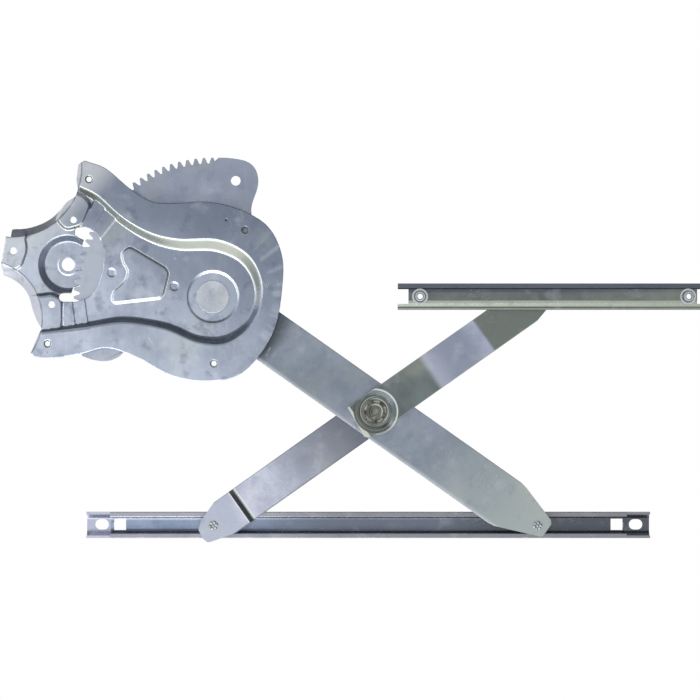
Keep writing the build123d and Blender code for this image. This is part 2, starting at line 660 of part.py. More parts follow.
def equalizer_lower_arm():
    """Lower arm of the equalizer, behind the lift arm, with a joggled end plate."""
    front = LOWER_FRONT
    joggle = JOGGLE_PLACE - HALF_ARM
    stations = [
        (-HALF_ARM - STRIP_SPARE, LOWER_END_FRONT), (joggle - JOGGLE_HALF, LOWER_END_FRONT),
        (joggle + JOGGLE_HALF, front), (EQUALIZER_WIDTH, front),
    ]
    half = EQUALIZER_WIDTH / 2
    plan = end_plate(-1)
    plan += polygon([(-1, half), (19.0, half), (22.0, 10.0), (22.0, -10.0), (19.0, -half), (-1, -half)])
    arm = bent_strip(stations, EQUALIZER_WALL, 2 * EQUALIZER_WIDTH)
    dish_back = LOWER_DISH_FRONT + EQUALIZER_WALL
    blade_back = front + EQUALIZER_WALL
    arm += frustum((0, 0), ARM_DISH_FLOOR_R, ARM_DISH_R, LOWER_DISH_FRONT, blade_back)
    hollow_r = ARM_DISH_FLOOR_R - ARM_DISH_FLOOR_FLARE
    arm -= frustum((0, 0), hollow_r, ARM_DISH_R - ARM_DISH_FLARE, dish_back, blade_back)
    arm &= sheet(plan, 0, THROUGH)
    arm -= rod((0, 0), CROSS_R + SEAT_CLEARANCE, 0, THROUGH)
    arm -= rod((-HALF_ARM, 0), JOURNAL_R + SEAT_CLEARANCE, 0, THROUGH)
    return on_equalizer(arm)


def cross_pivot():
    """Hub that joins the two equalizer arms through the lift arm, crimped in front."""
    flange_front = UPPER_DISH_FRONT - CROSS_FLANGE
    back = LOWER_DISH_FRONT + EQUALIZER_WALL
    hub = rod((0, 0), CROSS_R, flange_front, back + CROSS_FLANGE)
    hub += rod((0, 0), CROSS_FLANGE_R, flange_front, UPPER_DISH_FRONT)
    hub += rod((0, 0), CROSS_FLANGE_R, back, back + CROSS_FLANGE)
    nose_front = flange_front - CROSS_NOSE
    hub += frustum((0, 0), CROSS_NOSE_R - CROSS_NOSE_SLOPE, CROSS_NOSE_R, nose_front, flange_front)
    hub -= rod((0, 0), CROSS_DIMPLE_R, nose_front, nose_front + CROSS_DIMPLE)
    crimp = disc((0, 0), CRIMP_OUTER_R) - disc((0, 0), CRIMP_INNER_R)
    slit = Pos(CRIMP_OUTER_R, 0) * Rectangle(CRIMP_OUTER_R, CRIMP_SLIT)
    for petal in range(CRIMP_PETALS):
        crimp -= Rot(0, 0, petal * 360 / CRIMP_PETALS) * slit
    hub += sheet(crimp, flange_front - CRIMP_HEIGHT, flange_front)
    return on_equalizer(hub)


# Rollers and pins

def roller(place, front):
    """Moulded roller with a shallow groove in its front face."""
    body = tube(place, ROLLER_R, JOURNAL_R + RUN_CLEARANCE, front, front + ROLLER_THICK)
    groove = disc(place, ROLLER_R - ROLLER_RIM) - disc(place, COLLAR_R + ROLLER_HUB)
    return body - sheet(groove, front, front + ROLLER_GROOVE)


def channel_pin(place, arm_front, arm_wall):
    """Pin from an arm back into the glass channel's roller."""
    journal_end = CHANNEL_ROLLER_FRONT + ROLLER_THICK + AXIAL_PLAY
    pin = rod(place, JOURNAL_R, arm_front - PIN_HEAD, journal_end + PIN_END)
    pin += rod(place, PIN_HEAD_R, arm_front - PIN_HEAD, arm_front)
    pin += rod(place, COLLAR_R, arm_front + arm_wall, CHANNEL_ROLLER_FRONT - AXIAL_PLAY)
    pin += rod(place, PIN_END_R, journal_end, journal_end + PIN_END)
    return pin


def lift_pin():
    """Pin at the lift arm's nose."""
    return channel_pin(LIFT_END, LIFT_FRONT, LIFT_WALL)


def lower_pin():
    """Pin at the equalizer's lower end."""
    return channel_pin(LOWER_END, LOWER_END_FRONT, EQUALIZER_WALL)


def upper_pin():
    """Pin from the equalizer's upper end forward into the fixed rail's roller."""
    arm_back = UPPER_END_FRONT + EQUALIZER_WALL
    journal_end = RAIL_ROLLER_FRONT - AXIAL_PLAY
    pin = rod(UPPER_END, JOURNAL_R, journal_end - PIN_END, arm_back + PIN_HEAD)
    pin += rod(UPPER_END, PIN_HEAD_R, arm_back, arm_back + PIN_HEAD)
    pin += rod(UPPER_END, COLLAR_R, RAIL_ROLLER_FRONT + ROLLER_THICK + AXIAL_PLAY, UPPER_END_FRONT)
    pin += rod(UPPER_END, PIN_END_R, journal_end - PIN_END, journal_end)
    return pin


# Rails

def rail_section():
    """Section of a rolled rail as (depth from the lips, height), open at the lips."""
    lip = LIP_OPENING / 2
    bend = RAIL_DEPTH - SLOPE_DEPTH - RAIL_WALL
    lean = RAIL_WALL * math.tan(math.atan2(RAIL_INNER - WEB_HALF, SLOPE_DEPTH) / 2)
    outer = [(0, lip), (0, RAIL_OUTER), (bend + lean, RAIL_OUTER), (RAIL_DEPTH, WEB_HALF + lean)]
    inner = [(RAIL_DEPTH - RAIL_WALL, WEB_HALF), (bend, RAIL_INNER), (LIP_WALL, RAIL_INNER), (LIP_WALL, lip)]
    half = outer + [(depth, -height) for depth, height in reversed(outer)]
    back = [(depth, -height) for depth, height in reversed(inner)] + inner
    return half + back


def rail_bar(lips, direction, left, right):
    """Rolled rail along X whose lips lie at a depth, with its web in the given direction."""
    points = [(lips + direction * depth, height) for depth, height in rail_section()]
    section = polygon(points)
    section = fillet(section.vertices(), RAIL_CORNER)
    return extrude(Plane.YZ.offset(left) * section, amount=right - left, dir=(1, 0, 0))


def glass_channel():
    """Channel that the window glass is bolted to, open to the front."""
    web_back = CHANNEL_FRONT + RAIL_DEPTH
    web_front = web_back - RAIL_WALL
    channel = rail_bar(CHANNEL_FRONT, 1, CHANNEL_LEFT, CHANNEL_RIGHT)
    for start, end in ((CHANNEL_LEFT, CHANNEL_LIPS_LEFT), (CHANNEL_LIPS_RIGHT, CHANNEL_RIGHT)):
        lipless = Pos((start + end) / 2, 0) * Rectangle(end - start, 2 * RAIL_OUTER)
        channel -= sheet(lipless, CHANNEL_FRONT, CHANNEL_FRONT + LIP_WALL)
    for place in (SLOT_LEFT, SLOT_RIGHT):
        slot = Pos(place, 0) * SlotOverall(SLOT_LENGTH, SLOT_WIDTH)
        channel -= sheet(slot, web_front, web_back)
    for stop, inward in ((STOP_LEFT, 1), (STOP_RIGHT, -1)):
        window = Pos(stop + inward * WINDOW_LENGTH / 2, 0) * Rectangle(WINDOW_LENGTH, WINDOW_WIDTH)
        channel -= sheet(window, web_front, web_back)
        tab = Pos(stop - inward * RAIL_WALL / 2, 0) * Rectangle(RAIL_WALL, STOP_TAB_WIDTH)
        channel += sheet(tab, web_front - STOP_TAB_REACH, web_back)
    return Pos(0, 0, LOWER_END[1]) * channel


def fixed_rail():
    """Rail that is bolted to the door and guides the equalizer's upper roller."""
    rail = rail_bar(RAIL_BACK, -1, RAIL_LEFT, RAIL_RIGHT)
    web_front = RAIL_BACK - RAIL_DEPTH
    left = Pos(RAIL_LEFT + RAIL_NOTCH_LEFT / 2, 0) * Rectangle(RAIL_NOTCH_LEFT, RAIL_NOTCH_WIDTH)
    right = Pos(RAIL_RIGHT - RAIL_NOTCH_RIGHT / 2, 0) * Rectangle(RAIL_NOTCH_RIGHT, RAIL_NOTCH_WIDTH)
    rail -= sheet(left + right, web_front, web_front + SLOPE_DEPTH)
    for place in (RAIL_NUT_LEFT, RAIL_NUT_RIGHT):
        rail -= rod((place, 0), MOUNT_HOLE_R, web_front, web_front + RAIL_WALL)
    return rail


def rail_nuts():
    """Two flanged M6 nuts welded to the fixed rail's front."""
    nuts = []
    face = RAIL_BACK - RAIL_DEPTH
    hex_front = face - RAIL_NUT_FLANGE - RAIL_NUT_HEX
    nose_front = hex_front - RAIL_NUT_NOSE
    for place in ((RAIL_NUT_LEFT, 0), (RAIL_NUT_RIGHT, 0)):
        nut = rod(place, RAIL_NUT_FLANGE_R, face - RAIL_NUT_FLANGE, face)
        nut += sheet(hexagon(place, NUT_FLATS), hex_front, face)
        nut += rod(place, RAIL_NUT_NOSE_R, nose_front, face)
        nuts.append(nut - rod(place, NUT_BORE_R, nose_front, face))
    return nuts


NODES = {
    "base_plate": base_plate,
    "weld_nuts": weld_nuts,
    "pivot_pin": pivot_pin,
    "fixed_rail": fixed_rail,
    "rail_nuts": rail_nuts,
    "sector_gear": sector_gear,
    "pivot_bush": pivot_bush,
    "lift_arm": lift_arm,
    "arm_rivets": arm_rivets,
    "cross_bush": cross_bush,
    "lift_pin": lift_pin,
    "lift_roller": lambda: roller(LIFT_END, CHANNEL_ROLLER_FRONT),
    "equalizer_upper_arm": equalizer_upper_arm,
    "equalizer_lower_arm": equalizer_lower_arm,
    "cross_pivot": cross_pivot,
    "upper_pin": upper_pin,
    "upper_roller": lambda: roller(UPPER_END, RAIL_ROLLER_FRONT),
    "lower_pin": lower_pin,
    "lower_roller": lambda: roller(LOWER_END, CHANNEL_ROLLER_FRONT),
    "glass_channel": glass_channel,
}

os.makedirs("parts", exist_ok=True)
for name, make in NODES.items():
    made = make()
    pieces = made if isinstance(made, list) else [made]
    solids = [solid for piece in pieces for solid in piece.solids()]
    export_step(Compound(children=solids), f"parts/{name}.step")
    print(name, len(solids), round(sum(solid.volume for solid in solids), 1))
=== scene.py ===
"""Looks of a scissor-type window regulator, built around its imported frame.

The frame holds every piece at its real size and place. This script presses the base plate's
sheet anew with its rounded draws, gives the other pieces broken edges, and dresses them all in
worn zinc plate, bare steel, bronze and nylon. Lengths are written in millimetres and turned
into metres where a mesh or a lamp is made.
"""

from __future__ import annotations

import json
import logging
import math
from collections.abc import Iterator
from contextlib import contextmanager
from dataclasses import dataclass, field
from enum import Enum

import bmesh
import bpy
import numpy as np
from mathutils import Matrix, Vector

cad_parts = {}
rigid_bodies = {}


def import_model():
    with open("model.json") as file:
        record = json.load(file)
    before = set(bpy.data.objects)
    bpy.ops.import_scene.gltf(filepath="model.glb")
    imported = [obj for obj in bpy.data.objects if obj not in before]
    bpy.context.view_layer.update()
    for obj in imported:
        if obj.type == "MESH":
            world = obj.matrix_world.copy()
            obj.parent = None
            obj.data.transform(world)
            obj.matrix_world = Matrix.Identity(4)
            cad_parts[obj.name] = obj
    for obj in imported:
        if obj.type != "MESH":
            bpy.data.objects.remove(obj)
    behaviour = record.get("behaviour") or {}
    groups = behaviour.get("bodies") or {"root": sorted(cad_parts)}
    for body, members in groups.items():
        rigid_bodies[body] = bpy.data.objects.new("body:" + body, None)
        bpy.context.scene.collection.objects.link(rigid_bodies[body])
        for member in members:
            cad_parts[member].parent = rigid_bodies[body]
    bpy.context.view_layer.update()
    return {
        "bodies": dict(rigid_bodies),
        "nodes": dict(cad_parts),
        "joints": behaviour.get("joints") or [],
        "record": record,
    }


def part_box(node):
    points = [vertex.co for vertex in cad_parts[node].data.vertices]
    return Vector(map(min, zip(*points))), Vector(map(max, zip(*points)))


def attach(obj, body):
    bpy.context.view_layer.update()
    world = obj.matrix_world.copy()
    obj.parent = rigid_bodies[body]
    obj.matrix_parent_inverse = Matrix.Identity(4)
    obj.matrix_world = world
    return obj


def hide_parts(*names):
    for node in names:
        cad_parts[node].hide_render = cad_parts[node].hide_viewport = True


LOG = logging.getLogger("regulator")

MM = 0.001
Point = tuple[float, float]
Line = tuple[Point, ...]
Place = tuple[float, float, float]
Colour = tuple[float, float, float]

# Main dimensions of the linkage and the base plate, in millimetres, as the frame has them
HALF_ARM = 189.0
REST_ANGLE = 35.2
PLATE_WALL = 1.8
RECESS = 8.0

# The main pivot is the origin. ACROSS is how far the equalizer's centre line passes from it
PIVOT = (0.0, 0.0)
CROSS = (HALF_ARM * math.cos(math.radians(REST_ANGLE)), -HALF_ARM * math.sin(math.radians(REST_ANGLE)))
CHANNEL_Z = 2 * CROSS[1]
ACROSS = CROSS[0] * math.sin(math.radians(REST_ANGLE)) - CROSS[1] * math.cos(math.radians(REST_ANGLE))

# Tones that all zinc plating shares: handled places, painted glints, scratched places, and the painted
# light and shade on the walls of a drawn sheet
SMUDGED = (0.09, 0.115, 0.17)
PAINTED_GLINT = (0.78, 0.82, 0.88)
SCRATCHED = (0.78, 0.80, 0.84)
LIT_WALL = (0.74, 0.78, 0.80)
STEEP_WALL_SHADE = (0.30, 0.32, 0.265)
SHADED_WALL = (0.12, 0.14, 0.175)


class Grain(Enum):
    """Direction in which a sheet was rolled, as a turn about Y in degrees."""

    ALONG_X = 0.0
    UPRIGHT = 90.0
    ALONG_LIFT_ARM = REST_ANGLE
    ALONG_EQUALIZER = -REST_ANGLE


class Way(Enum):
    """Direction across a piece, in degrees from +X towards +Z."""

    RIGHT = 0.0
    UP = 90.0
    LEFT = 180.0
    DOWN = -90.0
    UP_RIGHT = 52.0
    UP_LEFT = 135.0
    LEFT_DOWN = 200.0
    ARM_NOSE = -REST_ANGLE
    ARM_ABOVE = 90.0 - REST_ANGLE
    ARM_BELOW = 270.0 - REST_ANGLE
    EQUALIZER_TOP = REST_ANGLE
    EQUALIZER_FOOT = 180.0 + REST_ANGLE
    EQUALIZER_ABOVE = 90.0 + REST_ANGLE
    EQUALIZER_BELOW = REST_ANGLE - 90.0


def polar(centre: Point, radius: float, degrees: float) -> Point:
    """Point at a radius and an angle from +X towards +Z."""
    turn = math.radians(degrees)
    return (centre[0] + radius * math.cos(turn), centre[1] + radius * math.sin(turn))


def arc(centre: Point, radius: float, first: float, last: float, steps: int) -> list[Point]:
    """Points along an arc, both ends included."""
    return [polar(centre, radius, first + (last - first) * i / steps) for i in range(steps + 1)]


def circle(centre: Point, radius: float, steps: int = 40) -> list[Point]:
    """Closed ring of points."""
    return arc(centre, radius, 0.0, 360.0, steps)[:-1]


def flowing(points: list[Point] | Line, steps: int = 8) -> list[Point]:
    """Open smooth curve through the points.

    Args:
        points: Places that the curve passes through.
        steps: Short runs between each two of them.

    Returns:
        Points along the curve, both ends included.
    """
    run = [np.array(point, float) for point in points]
    ends = [2 * run[0] - run[1], *run, 2 * run[-1] - run[-2]]
    made = []
    for before, start, end, after in zip(ends, ends[1:], ends[2:], ends[3:]):
        for step in range(steps):
            t = step / steps
            bend = 2 * start + (end - before) * t
            bend = bend + (2 * before - 5 * start + 4 * end - after) * t**2
            bend = bend + (3 * start - before - 3 * end + after) * t**3
            made.append(tuple(bend / 2))
    return [*made, tuple(run[-1])]


def rounded(points: Line, radius: float, steps: int = 5) -> list[Point]:
    """Closed outline with each corner cut by a small curve.

    Args:
        points: Corners of the outline.
        radius: How far from a corner its curve starts, at most 45% of the side.
        steps: Short runs in each curve.

    Returns:
        Points of the closed outline.
    """
    made = []
    corners = [np.array(point, float) for point in points]
    for before, corner, after in zip(corners[-1:] + corners[:-1], corners, corners[1:] + corners[:1]):
        back, ahead = before - corner, after - corner
        reach = min(radius, 0.45 * np.hypot(*back), 0.45 * np.hypot(*ahead))
        start = corner + back / np.hypot(*back) * reach
        end = corner + ahead / np.hypot(*ahead) * reach
        for step in range(steps + 1):
            t = step / steps
            made.append(tuple(start * (1 - t) ** 2 + corner * 2 * t * (1 - t) + end * t**2))
    return made


def ease(value: np.ndarray) -> np.ndarray:
    """Smooth step from 0 to 1."""
    t = np.clip(value, 0.0, 1.0)
    return t * t * (3 - 2 * t)


def bend_over(value: np.ndarray, share: float = 0.25) -> np.ndarray:
    """Straight ramp from 0 to 1 with a rounded bend at each end.

    Args:
        value: Place along the ramp, from 0 to 1.
        share: Part of the ramp that each bend takes.

    Returns:
        Height from 0 to 1.
    """
    x = np.clip(value, 0.0, 1.0)
    top = 2 * share * (1 - share)
    middle = (x - share / 2) / (1 - share)
    return np.where(x < share, x**2 / top, np.where(x > 1 - share, 1 - (1 - x) ** 2 / top, middle))


def distance_from(centre: Point, places: np.ndarray) -> np.ndarray:
    """Distance of each place from a centre."""
    return np.hypot(places[:, 0] - centre[0], places[:, 1] - centre[1])


def inside_depth(loop: list[Point], places: np.ndarray) -> np.ndarray:
    """How deep each place lies inside a closed loop, in millimetres.

    Args:
        loop: Points of the loop.
        places: Rows of (x, z).

    Returns:
        Distance to the loop, positive inside and negative outside.
    """
    ends = np.array(loop, float)
    nearest = np.full(len(places), 1e9)
    crossed = np.zeros(len(places), bool)
    for start, end in zip(ends, np.roll(ends, -1, axis=0)):
        run = end - start
        length = run @ run
        if length < 1e-9:
            continue
        away = places - start
        share = np.clip(away @ run / length, 0.0, 1.0)
        nearest = np.minimum(nearest, np.hypot(*(away - share[:, None] * run).T))
        spans = (start[1] > places[:, 1]) != (end[1] > places[:, 1])
        if abs(run[1]) > 1e-9:
            meets = start[0] + (places[:, 1] - start[1]) * run[0] / run[1]
            crossed ^= spans & (places[:, 0] < meets)
    return np.where(crossed, nearest, -nearest)


class Link:
    """Output of a shader node that can be used in Python expressions."""

    def __init__(self, shader: Shader, socket: bpy.types.NodeSocket) -> None:
        """Keep the socket and the shader that its maths goes into."""
        self.shader = shader
        self.socket = socket

    def _maths(self, operation: str, *values: Link | float) -> Link:
        """Add one Math node."""
        return self.shader.add("ShaderNodeMath", {"operation": operation}, list(values))

    def __add__(self, other: Link | float) -> Link:
        """Sum."""
        return self._maths("ADD", self, other)

    def __radd__(self, other: float) -> Link:
        """Sum with a number first."""
        return self._maths("ADD", other, self)

    def __sub__(self, other: Link | float) -> Link:
        """Difference."""
        return self._maths("SUBTRACT", self, other)

    def __rsub__(self, other: float) -> Link:
        """Difference from a number."""
        return self._maths("SUBTRACT", other, self)

    def __mul__(self, other: Link | float) -> Link:
        """Product."""
        return self._maths("MULTIPLY", self, other)

    def __rmul__(self, other: float) -> Link:
        """Product with a number first."""
        return self._maths("MULTIPLY", other, self)

    def distance(self, level: float) -> Link:
        """How far the value is from a level."""
        return self._maths("ABSOLUTE", self - level)

    def sine(self) -> Link:
        """Sine of the value, in radians."""
        return self._maths("SINE", self)

    def bearing(self, across: Link) -> Link:
        """Angle in radians of the point that lies across and this value up."""
        return self._maths("ARCTAN2", self, across)

    def step(self, low: float, high: float) -> Link:
        """Smooth step from 0 at low to 1 at high."""
        values = {"Value": self, "From Min": low, "From Max": high}
        return self.shader.add("ShaderNodeMapRange", {"interpolation_type": "SMOOTHSTEP"}, values)


class Shader:
    """Node tree of one material or of the world."""

    def __init__(self, tree: bpy.types.NodeTree) -> None:
        """Start from an empty tree."""
        self.tree = tree
        tree.nodes.clear()

    def add(
        self,
        kind: str,
        settings: dict[str, object] | None = None,
        values: dict[str, object] | list[object] | None = None,
        output: str | int = 0,
    ) -> Link:
        """Add a node.

        Args:
            kind: Node type.
            settings: Properties of the node, set before its sockets.
            values: Numbers, colours or links, by the socket's name or in order.
            output: Which output the returned link reads.

        Returns:
            The chosen output.
        """
        node = self.tree.nodes.new(kind)
        for name, value in (settings or {}).items():
            setattr(node, name, value)
        pairs = values.items() if isinstance(values, dict) else enumerate(values or [])
        for name, value in pairs:
            socket = node.inputs[name]
            if isinstance(value, Link):
                self.tree.links.new(value.socket, socket)
            else:
                socket.default_value = value
        return Link(self, node.outputs[output] if node.outputs else None)

    def mix(self, share: Link | float, first: object, second: object) -> Link:
        """Blend two colours, each a link or a colour."""
        sockets = [value if isinstance(value, Link) else (*value, 1.0) for value in (first, second)]
        values = {"Factor": share, "A": sockets[0], "B": sockets[1]}
        node = self.tree.nodes.new("ShaderNodeMix")
        node.data_type = "RGBA"
        chosen = {socket.name: socket for socket in node.inputs if socket.enabled}
        for name, value in values.items():
            if isinstance(value, Link):
                self.tree.links.new(value.socket, chosen[name])
            else:
                chosen[name].default_value = value
        made = [socket for socket in node.outputs if socket.enabled]
        return Link(self, made[0])

    def noise(self, coordinates: Link, scale: float, detail: float = 3.0, roughness: float = 0.5) -> Link:
        """Cloudy value from 0 to 1."""
        values = {"Vector": coordinates, "Scale": scale, "Detail": detail, "Roughness": roughness}
        return self.add("ShaderNodeTexNoise", {"noise_dimensions": "3D"}, values)

    def place(self, turn: float = 0.0, stretch: Place = (1.0, 1.0, 1.0), shift: float = 0.0) -> Link:
        """Object coordinates, turned about Y and stretched.

        Args:
            turn: Degrees about Y.
            stretch: Scale along the turned axes.
            shift: Offset that makes one piece's pattern differ from another's.

        Returns:
            The vector.
        """
        base = self.add("ShaderNodeTexCoord", output="Object")
        turned = {"Vector": base, "Rotation": (0.0, math.radians(turn), 0.0), "Location": (shift,) * 3}
        moved = self.add("ShaderNodeMapping", {}, turned)
        return self.add("ShaderNodeMapping", {}, {"Vector": moved, "Scale": stretch})

    def vector(self, operation: str, *values: Link | Place, output: str | int = 0) -> Link:
        """Add one Vector Math node."""
        return self.add("ShaderNodeVectorMath", {"operation": operation}, list(values), output)

    def length(self, vector: Link) -> Link:
        """Length of a vector."""
        return self.vector("LENGTH", vector, output="Value")

    def along(self, vector: Link, degrees: float) -> Link:
        """How far a vector reaches in a direction, from +X towards +Z."""
        turn = math.radians(degrees)
        return self.vector("DOT_PRODUCT", vector, (math.cos(turn), 0.0, math.sin(turn)), output="Value")

    def part(self, vector: Link, axis: str) -> Link:
        """One coordinate of a vector."""
        return self.add("ShaderNodeSeparateXYZ", {}, [vector], output=axis)

    def surface(
        self, colour: Link, metallic: float, roughness: Link, relief: Link, strength: float, depth: float
    ) -> None:
        """Close the material as a lit surface with a fine relief.

        Args:
            colour: Base colour.
            metallic: 1 for bare metal, 0 for plastic.
            roughness: Roughness at each place.
            relief: Height at each place, from 0 to 1.
            strength: Share of the relief that shows.
            depth: Depth of the relief in millimetres.
        """
        carved = {"Strength": strength, "Distance": depth * MM, "Height": relief}
        bump = self.add("ShaderNodeBump", {}, carved)
        values = {"Base Color": colour, "Metallic": metallic, "Roughness": roughness, "Normal": bump}
        surface = self.add("ShaderNodeBsdfPrincipled", {}, values)
        self.add("ShaderNodeOutputMaterial", {}, {"Surface": surface})


def new_material(name: str) -> tuple[bpy.types.Material, Shader]:
    """Make a material and the shader that fills it."""
    material = bpy.data.materials.new(name)
    material.use_nodes = True
    return material, Shader(material.node_tree)


def bloom_noise(shader: Shader, shift: float) -> Link:
    """Wide soft clouds, about 60 mm across."""
    return shader.noise(shader.place(shift=shift + 0.3), 16.0, 2.0)


@dataclass(frozen=True)
class CreaseShading:
    """Painted light and shade of faint radial crease lines in the right part of the rim, where the sheet
    was drawn in.
    """

    rim: Point = (54.0, 60.0)
    right: Point = (18.0, 45.0)
    scale: float = 9.0
    contrast: Point = (0.45, 0.68)
    share: float = 0.3
    towards: Colour = (0.50, 0.55, 0.64)

    def mask(self, shader: Shader) -> Link:
        """Share of the painted crease shading at each place."""
        base = shader.add("ShaderNodeTexCoord", output="Object")
        low, high = self.rim
        start, full = self.right
        outer = shader.length(base).step(low * MM, high * MM)
        right = shader.part(base, "X").step(start * MM, full * MM)
        folds = shader.noise(shader.vector("NORMALIZE", base), self.scale, 1.0).step(*self.contrast)
        return folds * (outer * right) * self.share


@dataclass(frozen=True)
class Fade:
    """Change of tone across a piece, from nothing at start to full at end, and back at until."""

    way: Way
    start: float
    end: float
    towards: Colour
    share: float = 0.5
    until: float = math.inf
    back: float = 0.4
    widest_wander: float = 30.0

    def mask(self, shader: Shader, shift: float) -> Link:
        """Share of the new tone at each place."""
        run = shader.along(shader.place(), self.way.value)
        reach = min(self.widest_wander, 0.5 * (self.end - self.start)) * MM
        wander = run + (bloom_noise(shader, shift) - 0.5) * reach
        grown = wander.step(self.start * MM, self.end * MM) * self.share
        if math.isinf(self.until):
            return grown
        return grown * (1 - wander.step((self.until - self.back) * MM, (self.until + self.back) * MM))


def painted_edge_lines(start: float, end: float, towards: Colour, share: float) -> tuple[Fade, Fade]:
    """Painted lines of the given light and shade along both edges of an equalizer arm, placed by the
    distance from its centre line.
    """
    above = Fade(Way.EQUALIZER_ABOVE, start - ACROSS, end - ACROSS, towards, share)
    return above, Fade(Way.EQUALIZER_BELOW, start + ACROSS, end + ACROSS, towards, share)


@dataclass(frozen=True)
class Ring:
    """Band of another tone round a centre: painted highlights along bends, painted shade in pits and rings,
    and a painted shadow.
    """

    centre: Point
    inner: float
    outer: float
    towards: Colour
    share: float = 0.7
    soft: float = 0.35
    facing: float | None = None
    lobes: int = 0

    def mask(self, shader: Shader, shift: float) -> Link:
        """Share of the new tone at each place."""
        x, z = self.centre
        away = shader.vector("SUBTRACT", shader.place(), (x * MM, 0.0, z * MM))
        flat = shader.vector("MULTIPLY", away, (1.0, 0.0, 1.0))
        radius = shader.length(flat)
        low, high, soft = self.inner * MM, self.outer * MM, self.soft * MM
        band = radius.step(low - soft, low + soft) * (1 - radius.step(high - soft, high + soft))
        band = band * (0.75 + bloom_noise(shader, shift) * 0.5) * self.share
        if self.lobes:
            angle = shader.part(flat, "Z").bearing(shader.part(flat, "X"))
            band = band * (angle * self.lobes + 0.6).sine().step(-0.2, 0.4)
        if self.facing is None:
            return band
        return band * shader.along(shader.vector("NORMALIZE", flat), self.facing).step(-0.1, 0.6)


@dataclass(frozen=True)
class ZincPlate:
    """Worn bright zinc plating on rolled sheet.

    The colour wanders between a light and a dark tone in soft clouds and along the rolling direction, with
    faint chromate tint, hairline scratches, dull handling spots and painted glints; its fades and rings
    paint light and shade.
    """

    name: str
    light: Colour
    dark: Colour
    tint: Colour = (0.60, 0.62, 0.42)
    grain: Grain = Grain.UPRIGHT
    cloud_scale: float = 26.0
    smear: float = 0.16
    tint_share: float = 0.16
    roughness: float = 0.27
    metallic: float = 0.80
    shift: float = 0.0
    # Share of the dark handling smudges; the painted glints take 0.6 of it
    smudge_and_glint: float = 0.18
    pressed: bool = False
    fades: tuple[Fade | Ring, ...] = ()

    def build(self) -> bpy.types.Material:
        """Make the material."""
        material, shader = new_material(self.name)
        even = shader.place(shift=self.shift)
        spots = shader.noise(even, self.cloud_scale * 9, 2.0, 0.5)
        grain = shader.noise(shader.place(self.grain.value, (0.04, 1.0, 1.0)), 2600.0, 2.0)
        fine = shader.noise(even, 1500.0, 2.0)
        tone = self._tone(shader, even, spots, grain)
        colour = shader.mix(tone, self.dark, self.light)
        # Fades and rings, most of which are painted light and shade
        for fade in self.fades:
            colour = shader.mix(fade.mask(shader, self.shift), colour, fade.towards)
        colour = self._handled(shader, even, colour)
        # The drawn walls of a pressed sheet get painted light and shade
        if self.pressed:
            colour = self._paint_wall_light(shader, colour)
        scratches = self._scratches(shader, even)
        colour = shader.mix(scratches * 0.35, colour, SCRATCHED)
        roughness = self.roughness + (tone - 0.5) * -0.10 + (fine - 0.5) * 0.12 + scratches * -0.08
        relief = grain * 0.5 + fine * 0.5 + scratches * -0.6 + spots * 0.4
        shader.surface(colour, self.metallic, roughness, relief, strength=0.10, depth=0.4)
        return material

    def _tone(self, shader: Shader, even: Link, spots: Link, grain: Link) -> Link:
        """Place between the dark and the light tone, from clouds, rolled smears, spots and grain."""
        rolled = shader.place(self.grain.value, (0.16, 1.0, 1.0), self.shift)
        clouds = shader.noise(even, self.cloud_scale, 4.0, 0.55)
        smears = shader.noise(rolled, self.cloud_scale * 6, 3.0, 0.6)
        tone = clouds * (1 - self.smear) + smears * self.smear
        return (tone + (spots - 0.5) * 0.16 + (grain - 0.5) * 0.07).step(0.32, 0.68)

    def _handled(self, shader: Shader, even: Link, colour: Link) -> Link:
        """Add dark smudges, painted glints in brighter spots at random, and the faint chromate tint."""
        smudges = shader.noise(even, self.cloud_scale * 2.6, 3.0, 0.6).step(0.54, 0.72)
        colour = shader.mix(smudges * self.smudge_and_glint, colour, SMUDGED)
        # Painted glints: brighter spots at random that stand in for highlights
        glints = shader.noise(shader.place(shift=self.shift + 2.3), self.cloud_scale * 1.9, 3.0)
        colour = shader.mix(glints.step(0.56, 0.74) * (self.smudge_and_glint * 0.6), colour, PAINTED_GLINT)
        bloom = shader.noise(shader.place(shift=self.shift + 0.7), self.cloud_scale * 0.7, 2.0)
        return shader.mix(bloom.step(0.52, 0.78) * self.tint_share, colour, self.tint)

    @staticmethod
    def _paint_wall_light(shader: Shader, colour: Link) -> Link:
        """Paint light and shade on the drawn walls by the mesh's own value of painted light, and paint the
        shading of the rim's radial crease lines.
        """
        wall_light = shader.add("ShaderNodeAttribute", {"attribute_name": "wall_light"}, output="Fac")
        # Painted highlight on lit walls, painted shade on the steepest lit walls and on walls that face
        # away from the light
        colour = shader.mix(wall_light.step(0.08, 0.35) * 0.75, colour, LIT_WALL)
        colour = shader.mix(wall_light.step(0.45, 0.75) * 0.8, colour, STEEP_WALL_SHADE)
        colour = shader.mix((0 - wall_light).step(0.15, 1.00) * 0.68, colour, SHADED_WALL)
        # Painted shading of the radial crease lines in the rim
        crease_shading = CreaseShading()
        return shader.mix(crease_shading.mask(shader), colour, crease_shading.towards)

    def _scratches(self, shader: Shader, even: Link) -> Link:
        """Hairline scratches in worn places, aslant to the rolling direction."""
        aslant = shader.place(self.grain.value + 24, (0.10, 1.0, 1.0), self.shift)
        lines = 1 - shader.noise(aslant, 420.0, 1.0).distance(0.5).step(0.0, 0.012)
        return lines * shader.noise(even, 34.0, 2.0).step(0.55, 0.68)


